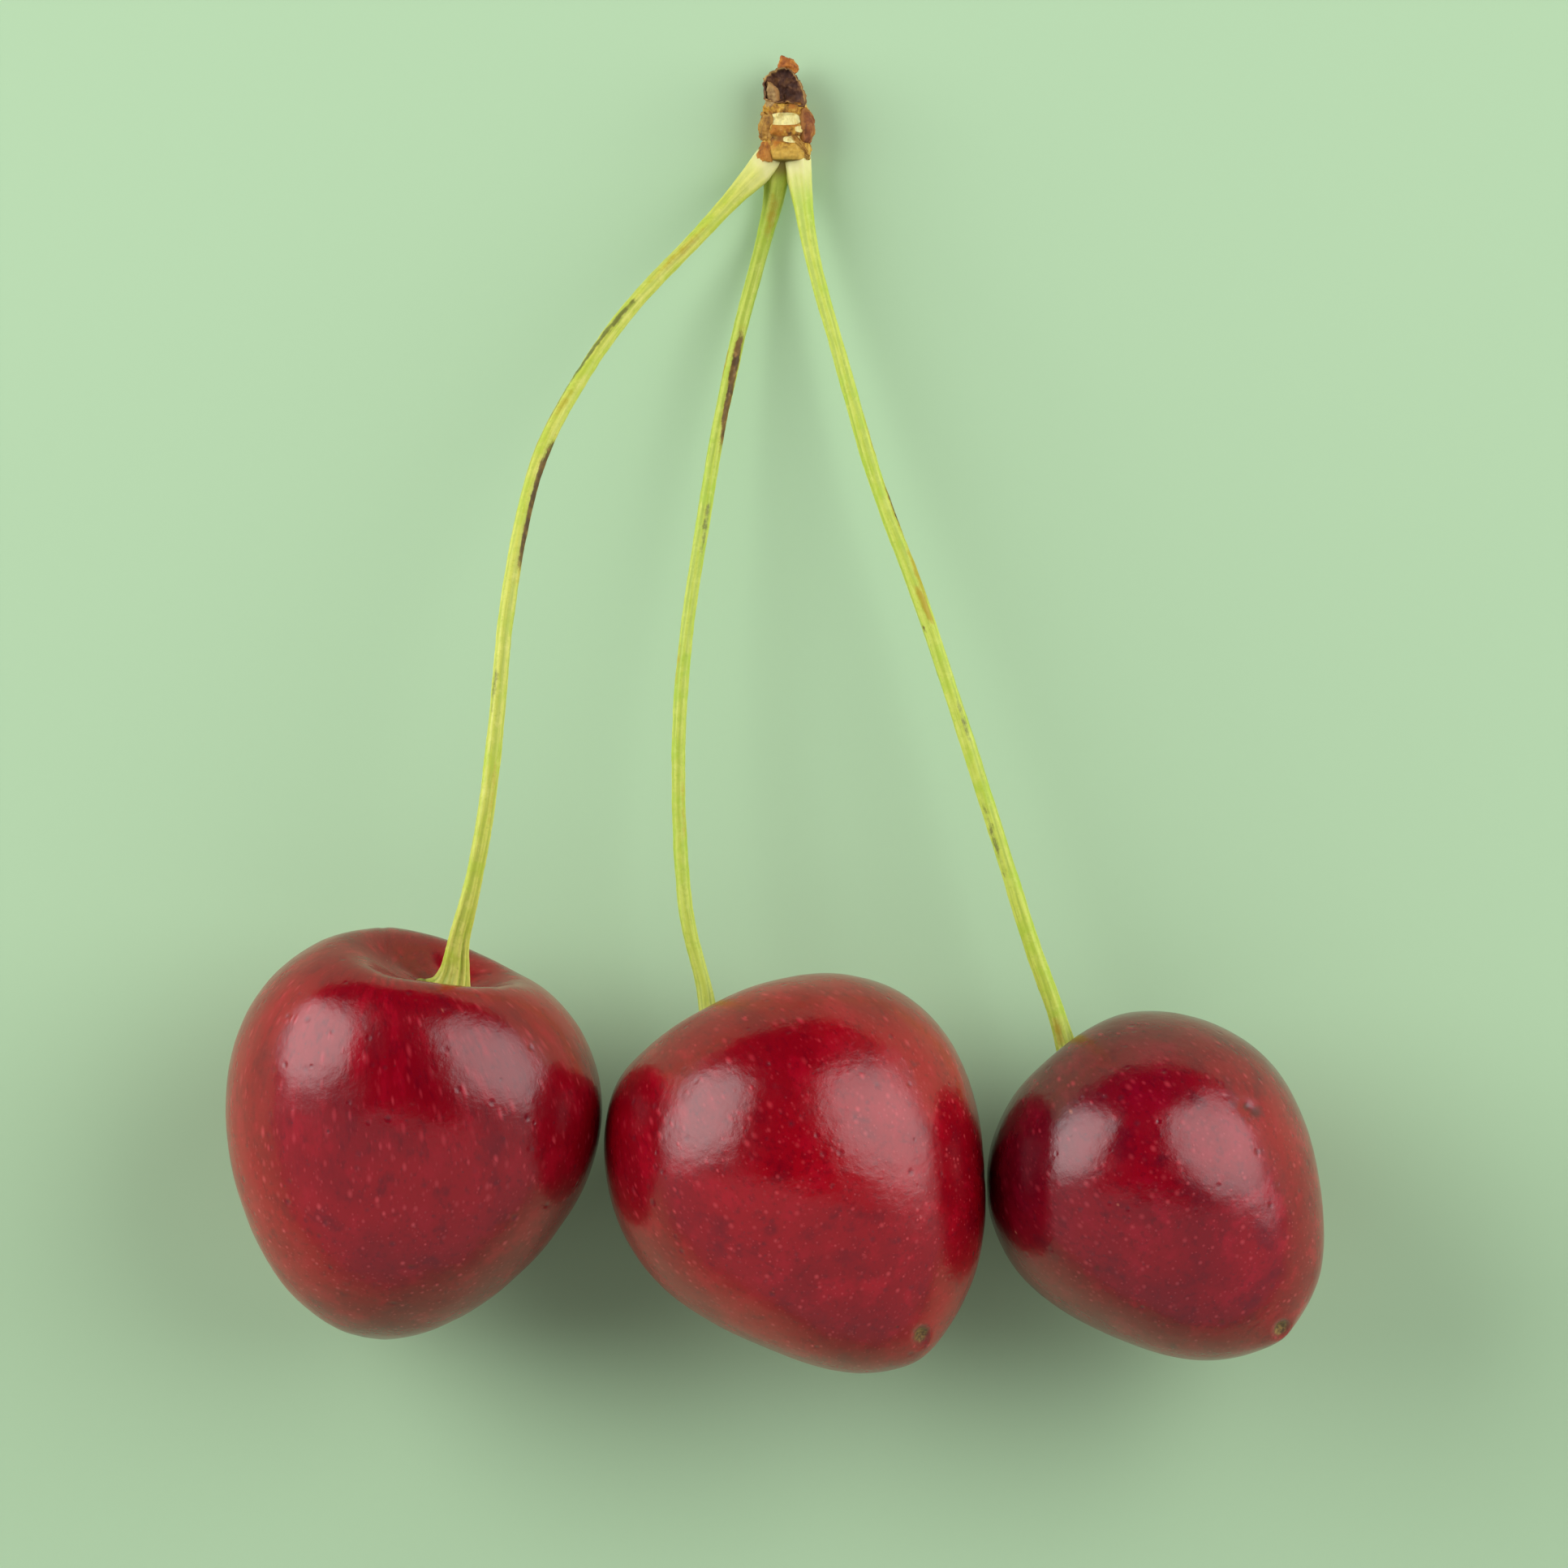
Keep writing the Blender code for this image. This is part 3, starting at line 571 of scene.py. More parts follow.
def make_stalk(name, steps=340, sides=44):
    s = STALKS[name]
    f = STEM_FORM[name]
    c = CHERRIES[s["fruit"]]
    floor, axis = hollow_frame(c)
    towards = np.array(s["route"][0]) - floor
    turned = axis + towards / np.linalg.norm(towards)
    start = floor - axis * 0.10
    route = [start, floor + turned / np.linalg.norm(turned) * 1.5] + list(s["route"])
    line, run = smooth_curve(route)
    length = run[-1]
    u = np.linspace(0, 1, steps + 1)
    dist = length * (u + 0.86 * (u ** 2.2 - u) * (1 - u))     # closer together at the foot
    dist[0], dist[-1] = 0.0, length
    centre = np.stack([np.interp(dist, run, line[:, k]) for k in range(3)], 1)
    tangent = np.gradient(centre, dist, axis=0)
    near = np.exp(-(dist / 1.2) ** 2)[:, None]
    tangent = tangent / np.linalg.norm(tangent, axis=1)[:, None] * (1 - near) + axis * near
    tangent /= np.linalg.norm(tangent, axis=1)[:, None]
    side = np.cross(tangent[0], (0.0, 0.0, 1.0))
    a = np.linspace(0, 2 * math.pi, sides, endpoint=False)
    grid, radial, ridge_all = [], [], []
    rng = np.random.default_rng(int(10 * f["lump"]) + 5)
    ph = rng.uniform(0, 2 * math.pi, 8)
    for i, t in enumerate(tangent):
        side = side - t * np.dot(side, t)
        side /= np.linalg.norm(side)
        up = np.cross(side, t)
        q = dist[i]
        left = length - q
        r = f["mid"] + f["top"] * math.exp(-(left / 7.0) ** 2) + f["flare"] * math.exp(-(left / 2.9) ** 1.8)
        r += f["neck"] * math.exp(-(q / 4.6) ** 1.3) + f["foot"] * math.exp(-(q / 1.05) ** 1.15)
        r *= 1 + 0.020 * math.sin(q * 0.55 + f["lump"]) + 0.014 * math.sin(q * 1.27 + 2 * f["lump"])
        depth = f["ridge"][1] + (f["ridge"][0] - f["ridge"][1]) * math.exp(-(q / 8.5) ** 1.4)
        depth += 0.020 * math.exp(-((left - 2.0) / 3.0) ** 2)
        tw = 0.035 * q
        few = (0.62 * np.cos(6 * (a + tw) + ph[0] + 0.3 * math.sin(q * 0.21))
               + 0.40 * np.cos(5 * (a + tw * 0.7) + ph[1])
               + 0.30 * np.cos(9 * (a + tw * 1.2) + ph[2] + 0.4 * math.sin(q * 0.4)))
        many = (0.80 * np.cos(11 * (a + tw) + ph[0] + 0.4 * math.sin(q * 0.5))
                + 0.45 * np.cos(8 * (a + tw) + ph[6] + 0.3 * math.sin(q * 0.8)))
        low = math.exp(-(q / 5.5) ** 2)
        ridge = np.tanh(1.3 * (few * (1 - 0.7 * low) + many * low))
        rr = r * (1 + depth * ridge)
        rr = rr * (1 + 0.045 * np.cos(2 * a + ph[3] + 0.05 * q))
        # the foot spreads into short toes over the floor of the hollow
        toes = math.exp(-(q / 0.55) ** 2)
        rr = rr * (1 + toes * (0.10 * np.cos(5 * a + ph[4]) + 0.06 * np.cos(8 * a + ph[5])))
        w = np.cos(a)[:, None] * side + np.sin(a)[:, None] * up
        if name == "stalk_left":
            # a low shoulder towards the stub of a dropped bract
            facing = w @ np.array((-0.96, 0.20, 0.20))
            lobe = np.exp(-((1 - np.clip(facing, -1, 1)) / 0.10) ** 1.5) * math.exp(-(q / 0.62) ** 3)
            rr = rr + 0.50 * lobe
        if q < 0.20:
            rr = rr * (0.80 + 0.20 * q / 0.20)
        grid.append(centre[i] + w * rr[:, None])
        radial.append(w)
        ridge_all.append(ridge)
    grid, radial, ridge_all = np.array(grid), np.array(radial), np.array(ridge_all)
    grid = grid + radial * (0.010 * waves(grid, 1.1, f["lump"], 10) + 0.006 * waves(grid, 0.45, f["lump"], 14))[..., None]
    n = grid.shape[0] * sides
    pts = np.concatenate((grid.reshape(-1, 3), centre[:1] - axis * 0.02, centre[-1:]))
    faces = grid_faces(steps + 1, sides, True).tolist()
    for j in range(sides):
        k = (j + 1) % sides
        faces.append((n, k, j))
        faces.append((n + 1, n - sides + j, n - sides + k))
    ob = mesh_object(name + "_stem", to_row(pts), faces)
    face_out(ob)
    end = lambda v: np.concatenate((v.ravel(), [0.0, 0.0]))
    add_float(ob, "ridge", end(ridge_all))
    stem = np.stack((np.cos(a)[None, :] + 0 * dist[:, None], np.sin(a)[None, :] + 0 * dist[:, None],
                     dist[:, None] + 0 * a[None, :]), -1)
    add_vector(ob, "stem", np.concatenate((stem.reshape(-1, 3), ((0, 0, 0), (0, 0, length)))))
    add_float(ob, "to_spur", end((length - dist)[:, None] + 0 * a[None, :]))
    kinds = [np.zeros(grid.shape[:2]) for _ in range(3)]
    up = np.array((0.0, 0.0, 1.0)) - tangent * tangent[:, 2:3]
    up /= np.linalg.norm(up, axis=1)[:, None]
    right = np.cross(up, tangent)
    right *= np.sign(right[:, :1])
    bearing = np.degrees(np.arctan2((radial * right[:, None]).sum(-1), (radial * up[:, None]).sum(-1)))
    for y0, y1, b0, b1, half, strength, kind in STEM_MARKS[name]:
        t = (grid[..., 1] - y0) / (y1 - y0)
        e = (2 * t - 1) ** 2
        off = (bearing - (b0 + (b1 - b0) * np.clip(t, 0, 1)) + 180) % 360 - 180
        hold = strength * np.clip(1 - e, 0, 1) ** 0.5 * np.clip(1 - (off / half) ** 2, 0, 1)
        kinds[kind] = np.maximum(kinds[kind], hold)
    for label, v in zip(("mark_dark", "mark_ochre", "mark_grey"), kinds):
        add_float(ob, label, end(v))
    if name == "stalk_left":
        join_stub(ob, floor + np.array((-1.80, 0.42, 0.55)))
    return ob


def join_stub(ob, at, rows=30, cols=40):
    """The stub of a dropped bract beside the left stalk's foot."""
    th = np.linspace(0, math.pi, rows)[1:-1, None]
    ph = np.linspace(0, 2 * math.pi, cols, endpoint=False)[None, :]
    n = np.stack((np.sin(th) * np.cos(ph), np.sin(th) * np.sin(ph), np.cos(th) + 0 * ph), -1)
    box = n / (np.abs(n) ** 3.2).sum(-1, keepdims=True) ** (1 / 3.2)
    p = box * np.array((0.62, 0.40, 0.45)) + np.array(at)
    p = p + n * (0.05 * waves(p, 0.9, 2.2, 9) + 0.03 * waves(p, 0.35, 3.2, 12))[..., None]
    m = (rows - 2) * cols
    pts = np.concatenate((p.reshape(-1, 3), p[:1].mean(1), p[-1:].mean(1)))
    faces = grid_faces(rows - 2, cols, True).tolist()
    for j in range(cols):
        k = (j + 1) % cols
        faces.append((m, k, j))
        faces.append((m + 1, m - cols + j, m - cols + k))
    stub = mesh_object("stub", to_row(pts), faces)
    face_out(stub)
    add_float(stub, "ridge", np.concatenate((np.sin(5 * p[..., 0] + 6 * p[..., 2]).ravel() * 0.6, [0.0, 0.0])))
    stem = np.stack((p[..., 0], p[..., 2], p[..., 1] * 3), -1).reshape(-1, 3)
    add_vector(stub, "stem", np.concatenate((stem, ((0, 0, 0), (0, 0, 1)))))
    add_float(stub, "to_spur", np.full(len(pts), 40.0))
    # painted shade: the stub's outer (-X) end is painted brown-dark for the shadow it lies in; the rest keeps its
    # grey-olive and ochre
    edge = soft(at[0] - p[..., 0], 0.20, 0.60)
    for label, v in (("mark_dark", 0.75 * edge), ("mark_ochre", 0.45 + 0.3 * edge), ("mark_grey", 0.62 + 0 * edge)):
        add_float(stub, label, np.concatenate((v.ravel(), [0.4, 0.4])))
    with bpy.context.temp_override(active_object=ob, selected_editable_objects=[ob, stub]):
        bpy.ops.object.join()


def stem_material(name, green, lump, gap_shade=0.0):
    """Yellow-green rind: long darker grooves and paler ridges set from the ridge shape (painted shade in the grooves,
    painted highlight on the ridge tops), cream at the spur, brown scuffed stretches. A stalk that goes in behind the
    others gets painted shadow at its top instead of cream."""
    g = Graph(name)
    stem = g.attr("stem", "Vector")
    a, b, s = g.split(stem)
    p = g.vmath("SCALE", g.coords(), scale=1000.0)
    along = g.join(g.math("MULTIPLY", a, 1.6), g.math("MULTIPLY", b, 1.6), g.math("MULTIPLY", s, 0.16))
    along = g.vmath("ADD", along, (lump * 3.0, lump, 0.0))
    fibres = g.noise(along, 2.6, 4.0, 0.6)
    blotch = g.noise(g.vmath("ADD", p, (lump, 0.0, 0.0)), 0.55, 3.0, 0.55)
    grain = g.noise(p, 4.5, 3.0, 0.65)
    light = tuple(min(1.0, v * f) for v, f in zip(green, (1.20, 1.13, 1.75)))
    dark = tuple(v * f for v, f in zip(green, (0.52, 0.62, 0.42)))
    ridge = g.attr("ridge")
    low = g.fit(s, 9.0, 1.0)
    # painted shade in the grooves and painted highlight on the ridge tops, following the ridge shape, strongest near
    # the foot
    body = g.mix(g.fit(ridge, -0.95, 0.25, 0.60, 0.0), green, dark)
    body = g.mix(g.math("MULTIPLY", low, g.fit(ridge, 0.2, 0.95, 0.15, 0.65)), body, light)
    body = g.mix(g.math("MULTIPLY", low, g.fit(ridge, -0.2, -0.95, 0.0, 0.60)), body, tuple(v * f for v, f in zip(green, (0.42, 0.60, 0.22))))
    body = g.mix(g.fit(fibres, 0.50, 0.78, 0.0, 0.75), body, dark)
    body = g.mix(g.fit(fibres, 0.46, 0.26, 0.0, 0.75), body, light)
    body = g.mix(g.fit(blotch, 0.46, 0.66, 0.0, 0.60), body, tuple(v * f for v, f in zip(green, (0.70, 0.88, 0.40))))
    spot = g.noise(g.vmath("ADD", p, (0.0, lump, 5.0)), 1.5, 3.0, 0.6)
    body = g.mix(g.fit(spot, 0.52, 0.68, 0.0, 0.32), body, tuple(v * f for v, f in zip(green, (0.66, 0.80, 0.36))))
    body = g.mix(g.fit(spot, 0.46, 0.32, 0.0, 0.32), body, light)
    body = g.mix(g.fit(grain, 0.54, 0.74, 0.0, 0.40), body, dark)
    # pale specks
    d, r = g.cells(g.join(g.math("MULTIPLY", a, 0.5), g.math("MULTIPLY", b, 0.5), g.math("MULTIPLY", s, 0.45)), 3.4)
    r1, r2, r3 = g.split(r)
    speck = g.math("MULTIPLY", g.fit(d, 0.06, 0.17, 1.0, 0.0), g.fit(r1, 0.55, 0.62))
    body = g.mix(g.math("MULTIPLY", speck, 0.45), body, light)
    # cream swelling under the spur, left off where a stalk's top gets painted shadow instead
    left = g.attr("to_spur")
    wob = g.math("ADD", left, g.math("MULTIPLY", g.math("SUBTRACT", g.noise(p, 0.9, 2.0), 0.5), 2.2))
    body = g.mix(g.fit(wob, 0.4, 4.0, 0.85 * (1 - gap_shade), 0.0), body, (0.68, 0.66, 0.22))
    body = g.mix(g.fit(wob, 0.2, 1.8, 0.55 * (1 - gap_shade), 0.0), body, (0.74, 0.70, 0.36))
    # painted shadow: dark olive-brown at the top of a stalk that goes in behind the others at the spur
    if gap_shade:
        body = g.mix(g.fit(left, 0.5, 1.7, 0.9, 0.0), body, (0.17, 0.115, 0.012))
    # scuffs, their edges broken up along the fibres
    ragged = g.math("MULTIPLY", g.math("SUBTRACT", g.noise(along, 5.0, 3.0, 0.65), 0.5), 0.75)
    flecks = g.math("MULTIPLY", g.math("SUBTRACT", g.noise(p, 1.9, 4.0, 0.65), 0.5), 1.15)
    broken = g.math("ADD", ragged, flecks)
    ochre = g.fit(g.math("ADD", g.attr("mark_ochre"), broken), 0.15, 0.95)
    grey = g.fit(g.math("ADD", g.attr("mark_grey"), g.math("MULTIPLY", broken, 1.25)), 0.22, 0.80)
    brown = g.fit(g.math("ADD", g.attr("mark_dark"), g.math("MULTIPLY", broken, 0.9)), 0.20, 0.72)
    grey = g.math("MULTIPLY", grey, g.fit(g.attr("mark_grey"), 0.02, 0.15))
    ochre = g.math("MULTIPLY", ochre, g.fit(g.attr("mark_ochre"), 0.02, 0.15))
    brown = g.math("MULTIPLY", brown, g.fit(g.attr("mark_dark"), 0.02, 0.15))
    body = g.mix(g.math("MULTIPLY", ochre, 0.85), body, (0.40, 0.285, 0.010))
    body = g.mix(g.math("MULTIPLY", grey, 0.88), body, (0.110, 0.112, 0.022))
    deep = g.mix(g.fit(g.noise(p, 1.3, 3.0), 0.38, 0.64), (0.060, 0.022, 0.008), (0.165, 0.078, 0.016))
    deep = g.mix(g.fit(g.noise(p, 2.6, 3.0), 0.58, 0.72, 0.0, 0.7), deep, (0.33, 0.18, 0.06))
    body = g.mix(g.math("MULTIPLY", brown, 0.95), body, deep)
    g.put(g.bsdf.inputs["Base Color"], body)
    rough = g.fit(grain, 0.2, 0.8, 0.36, 0.52)
    rough = g.math("ADD", rough, g.math("MULTIPLY", brown, 0.12), clamp=True)
    g.put(g.bsdf.inputs["Roughness"], rough)
    g.bsdf.inputs["IOR"].default_value = 1.42
    g.bsdf.inputs["Subsurface Weight"].default_value = 0.12
    g.bsdf.inputs["Subsurface Radius"].default_value = (0.6, 0.8, 0.2)
    g.bsdf.inputs["Subsurface Scale"].default_value = 0.0004
    height = g.math("ADD", g.math("MULTIPLY", fibres, 0.7), g.math("MULTIPLY", grain, 0.4))
    height = g.math("SUBTRACT", height, g.math("MULTIPLY", brown, 0.3))
    g.put(g.bsdf.inputs["Normal"], g.bump(height, 0.00005, 0.7))
    return g.mat


# ------------------------------------------------------------------ spur ---
def heel(angle):
    return 1.0 + 0.20 * ((1 - np.cos(angle)) / 2) ** 3


def spur_point(d, angle, r):
    """Distance along the spur, angle round it (0 up, + to +X), radius."""
    return np.stack((SPUR_X + r * np.sin(angle), SPUR_Y + d + 0 * angle, SPUR_Z + r * np.cos(angle)), -1)


STUMP_FORM = (   # distance from the cut face, radius
    (-0.44, 0.30), (-0.40, 0.70), (-0.34, 1.06), (-0.26, 1.34), (-0.14, 1.46), (0.12, 1.53), (0.50, 1.56),
    (0.74, 1.50), (0.88, 1.38), (1.02, 1.33), (1.26, 1.34), (1.36, 1.45), (1.60, 1.51), (1.84, 1.47),
    (1.94, 1.35), (2.08, 1.28), (2.60, 1.28), (2.72, 1.36), (2.92, 1.39), (3.18, 1.33), (3.34, 1.10),
    (3.50, 0.50), (4.20, 0.26), (4.90, 0.26), (5.40, 0.22), (5.62, 0.10))


def make_stump(rows=150, sides=96):
    d0 = np.array([v[0] for v in STUMP_FORM])
    r0 = np.array([v[1] for v in STUMP_FORM])
    d = np.linspace(d0[0], d0[-1], rows)[:, None]
    a = np.linspace(0, 2 * math.pi, sides, endpoint=False)[None, :]
    wob = 0.10 * np.sin(2 * a + 0.7) + 0.06 * np.sin(3 * a + 2.0)
    dd = np.clip(d + wob * soft(d, 0.1, 0.8) * (1 - soft(d, 4.6, 5.3)), d0[0], d0[-1])
    r = np.interp(dd, d0, r0) * np.minimum(heel(a), 1.0 + 0.0 * d + 0.20)
    # never under the table
    p = spur_point(d, a, r)
    grain = 0.045 * np.sin(17 * a + 3 * np.sin(1.3 * d)) * soft(d, 0.0, 0.5)
    rough = 0.055 * waves(p, 0.8, 5.5, 12) + 0.034 * waves(p, 0.35, 6.5, 16) + 0.45 * grain
    wrinkle = np.sin(2 * math.pi * (d + 0.10 * np.sin(2 * a + 1.0) + 0.06 * np.sin(5 * a)) / 0.29)
    rough = rough + 0.022 * wrinkle * (0.5 + 0.5 * np.sin(3 * a + 4 * d))
    edge = np.sin(math.pi * np.clip((d - d0[0]) / (d0[-1] - d0[0]), 0, 1)) ** 0.3
    r = r + rough * edge
    p = spur_point(d, a, r)
    p[..., 2] = np.maximum(p[..., 2], 0.012 + 0.01 * np.sin(5 * a))
    n = rows * sides
    pts = np.concatenate((p.reshape(-1, 3), spur_point(np.array([d0[0], d0[-1]]), np.zeros(2), np.zeros(2))))
    faces = grid_faces(rows, sides, True).tolist()
    for j in range(sides):
        k = (j + 1) % sides
        faces.append((n, k, j))
        faces.append((n + 1, n - sides + j, n - sides + k))
    ob = mesh_object("spur_stump_wood", to_row(pts), faces)
    face_out(ob)
    aa = np.angle(np.exp(1j * (a + 0 * d)))
    deg = np.degrees(aa)
    # pale scars where buds and stalks came away: along, round, half sizes
    cream = np.zeros(p.shape[:2])
    for dc, ac, hd, ha in ((2.26, -3, 0.40, 48), (1.62, 40, 0.20, 17), (0.98, 26, 0.22, 34),
                           (2.20, 165, 0.38, 40), (1.00, -150, 0.25, 30)):
        gap = np.abs(np.degrees(np.angle(np.exp(1j * (aa - math.radians(ac))))))
        e = (np.abs(d - dc) / hd) ** 3 + (gap / ha) ** 3
        cream = np.maximum(cream, 1 - soft(e, 0.55, 1.25))
    end = lambda v, x=0.0: np.concatenate((v.ravel(), [x, x]))
    add_float(ob, "cream", end(cream))
    add_float(ob, "band", end(np.interp(dd, d0, r0) - np.interp(dd, d0, np.convolve(
        np.concatenate(([r0[0]] * 2, r0, [r0[-1]] * 2)), np.ones(5) / 5, mode="valid"))))
    add_vector(ob, "wood", np.concatenate((np.stack((np.cos(a) + 0 * d, np.sin(a) + 0 * d, d + 0 * a), -1)
                                           .reshape(-1, 3), ((0, 0, 0), (0, 0, 5)))))
    add_float(ob, "up_spur", end(d + 0 * a, 5.0))
    return ob


def bark_material():
    g = Graph("spur_bark")
    w = g.attr("wood", "Vector")
    a, b, d = g.split(w)
    p = g.vmath("SCALE", g.coords(), scale=1000.0)
    fib = g.noise(g.join(g.math("MULTIPLY", a, 3.4), g.math("MULTIPLY", b, 3.4), g.math("MULTIPLY", d, 0.8)),
                  1.6, 4.0, 0.6)
    patch = g.noise(p, 1.7, 4.0, 0.68)
    crumb = g.noise(p, 4.0, 4.0, 0.7)
    body = g.ramp(patch, ((0.34, (0.110, 0.042, 0.010)), (0.44, (0.330, 0.150, 0.016)),
                          (0.54, (0.520, 0.285, 0.032)), (0.66, (0.640, 0.430, 0.110))))
    rust = g.noise(g.vmath("ADD", p, (3.0, 7.0, 1.0)), 0.9, 3.0, 0.6)
    body = g.mix(g.fit(rust, 0.50, 0.62, 0.0, 0.75), body, (0.42, 0.135, 0.014))
    body = g.mix(g.fit(fib, 0.52, 0.74, 0.0, 0.65), body, (0.085, 0.040, 0.014))
    body = g.mix(g.fit(g.attr("band"), -0.02, -0.09, 0.0, 0.75), body, (0.095, 0.045, 0.014))
    up = g.attr("up_spur")
    # painted shade: darker where the stump narrows in under the hollow scale
    body = g.mix(g.fit(up, 3.15, 3.6, 0.0, 0.72), body, (0.115, 0.050, 0.022))
    body = g.mix(g.fit(up, 0.80, 0.10, 0.0, 0.60), body, (0.60, 0.385, 0.065))
    body = g.mix(g.fit(up, -0.22, -0.34), body, (0.150, 0.110, 0.012))
    cream = g.math("ADD", g.attr("cream"), g.math("MULTIPLY", g.math("SUBTRACT", crumb, 0.5), 0.5))
    pale = g.mix(g.fit(fib, 0.40, 0.72), (0.76, 0.69, 0.30), (0.60, 0.44, 0.12))
    body = g.mix(g.fit(cream, 0.35, 0.68), body, pale)
    body = g.mix(g.fit(crumb, 0.60, 0.78, 0.0, 0.5), body, (0.07, 0.032, 0.012))
    g.put(g.bsdf.inputs["Base Color"], body)
    g.put(g.bsdf.inputs["Roughness"], g.fit(crumb, 0.2, 0.8, 0.62, 0.85))
    g.bsdf.inputs["Specular IOR Level"].default_value = 0.35
    height = g.math("ADD", g.math("MULTIPLY", fib, 0.6), g.math("MULTIPLY", crumb, 0.6))
    g.put(g.bsdf.inputs["Normal"], g.bump(height, 0.00012, 0.8))
    return g.mat


# dry scales: angle, half width (degrees), span along the spur, radius at the
# base, middle and free end, thickness, raggedness, point (0 blunt, 1 sharp)
SCALE_FORM = {
    "bud_scale_lower_left": dict(angle=-64, half=27, span=(0.86, -0.34), radii=(1.54, 1.84, 1.84),
                                 core=1.20, rag=0.06, point=0.06, slope=0.06, seed=1.0),
    "bud_scale_lower_right": dict(angle=40, half=11, span=(1.20, -0.18), radii=(1.50, 1.66, 1.62),
                                  core=1.15, rag=0.08, point=0.20, slope=0.05, seed=2.0, skew=42),
    "bud_scale_left": dict(angle=-70, half=34, span=(0.98, 2.66), radii=(1.52, 1.68, 1.46),
                           core=1.00, rag=0.06, point=0.10, slope=-0.10, seed=3.0),
    "bud_scale_right": dict(angle=76, half=32, span=(0.80, 2.92), radii=(1.52, 1.84, 1.46),
                            core=1.00, rag=0.06, point=0.10, slope=-0.06, seed=4.0),
    "bud_scale_upper_left": dict(angle=-52, half=24, span=(3.05, 4.62), radii=(1.36, 1.42, 1.52),
                                 core=0.80, rag=0.06, point=0.10, slope=-0.22, seed=5.0),
    "bud_scale_tip": dict(angle=8, half=100, span=(5.02, 6.14), radii=(0.40, 0.74, 0.52),
                          core=0.12, rag=0.03, point=0.28, slope=-0.16, seed=6.0, shift=0.12),
}


def shell_object(name, outer, inner, edge, wood):
    """A closed shell from two matching open grids (rows, cols, 3)."""
    rows, cols = outer.shape[:2]
    n = rows * cols
    pts = np.concatenate((outer.reshape(-1, 3), inner.reshape(-1, 3)))
    top = grid_faces(rows, cols, False)
    faces = top.tolist() + (top[:, ::-1] + n).tolist()
    border = ([(0, j) for j in range(cols)] + [(i, cols - 1) for i in range(1, rows)]
              + [(rows - 1, j) for j in range(cols - 2, -1, -1)] + [(i, 0) for i in range(rows - 2, 0, -1)])
    ids = [i * cols + j for i, j in border]
    for k in range(len(ids)):
        a, b = ids[k], ids[(k + 1) % len(ids)]
        faces.append((b, a, a + n, b + n))
    ob = mesh_object(name, to_row(pts), faces)
    face_out(ob)
    add_float(ob, "edge", np.concatenate((edge.ravel(), edge.ravel())))
    add_float(ob, "inside", np.concatenate((np.zeros(n), np.ones(n))))
    add_vector(ob, "wood", np.concatenate((wood.reshape(-1, 3), wood.reshape(-1, 3))))
    return ob


def make_scale(name, rows=44, cols=40):
    """A dry scale pressed to the spur: thick at its foot, lifting to a ragged
    lip, its edges drawn down onto the bark."""
    f = SCALE_FORM[name]
    u = np.linspace(0, 1, rows)[:, None]
    v = np.linspace(-1, 1, cols)[None, :]
    width = 1 - f["point"] * u ** 2.2 - 0.10 * (1 - soft(u, 0.0, 0.2))
    rag = f["rag"] * (0.55 * np.sin(6.3 * u + f["seed"]) + 0.45 * np.sin(15.1 * u + 2 * f["seed"]))
    ang = math.radians(f["angle"]) + math.radians(f["half"]) * v * width * (1 + rag * np.abs(v) ** 3)
    ang = ang + math.radians(f.get("skew", 0)) * (u - 0.4)
    teeth = f["rag"] * (0.45 * np.sin(6.0 * v + f["seed"]) + 0.35 * np.sin(15.0 * v + 3 * f["seed"])
                        + 0.2 * np.sin(27.0 * v + 5 * f["seed"])) + f["slope"] * v
    d = f["span"][0] + (f["span"][1] - f["span"][0]) * (u * (1 + teeth * u ** 2))
    r_base, r_mid, r_end = f["radii"]
    r = r_base * (1 - u) * (1 - 2 * u) + 4 * r_mid * u * (1 - u) + r_end * u * (2 * u - 1)
    core = f["core"]
    drop = np.abs(v) ** 4 * 0.55
    r = r * (1 - drop) + (core + 0.12) * drop + 0.025 * np.cos(9 * v + f["seed"])
    shift = np.array((f.get("shift", 0.0), 0.0, 0.0))
    outer = spur_point(d + 0 * v, ang, r)
    relief = 0.045 * waves(outer, 0.60, f["seed"], 10) + 0.028 * waves(outer, 0.26, f["seed"] + 9, 14)
    outer = spur_point(d + 0 * v, ang, r + relief) + shift
    edge = np.maximum(np.abs(v) ** 2, u ** 3) + 0 * u
    # hollow behind the lip, solid below it
    inner = spur_point(d + 0 * v - 0.04 * u, ang * 1.0, core + 0 * r + (r - 0.14 - core) * soft(u, 0.80, 1.0) * 0.8) + shift
    wood = np.stack((v * 1.2 + 0 * u, f["seed"] + 0 * u + 0 * v, d + 0 * v), -1)
    return shell_object(name + "_scale", outer, inner, edge, wood)


CUP_RIM = (   # bearing round the cup's middle (degrees), reach in mm
    (-45, 1.80), (-26, 1.40), (0, 1.06), (37, 0.93), (69, 1.07), (96, 1.22), (121, 1.25), (141, 1.29),
    (157, 1.42), (180, 1.34), (201, 1.38), (216, 1.52), (237, 1.18), (277, 0.98), (300, 1.34))


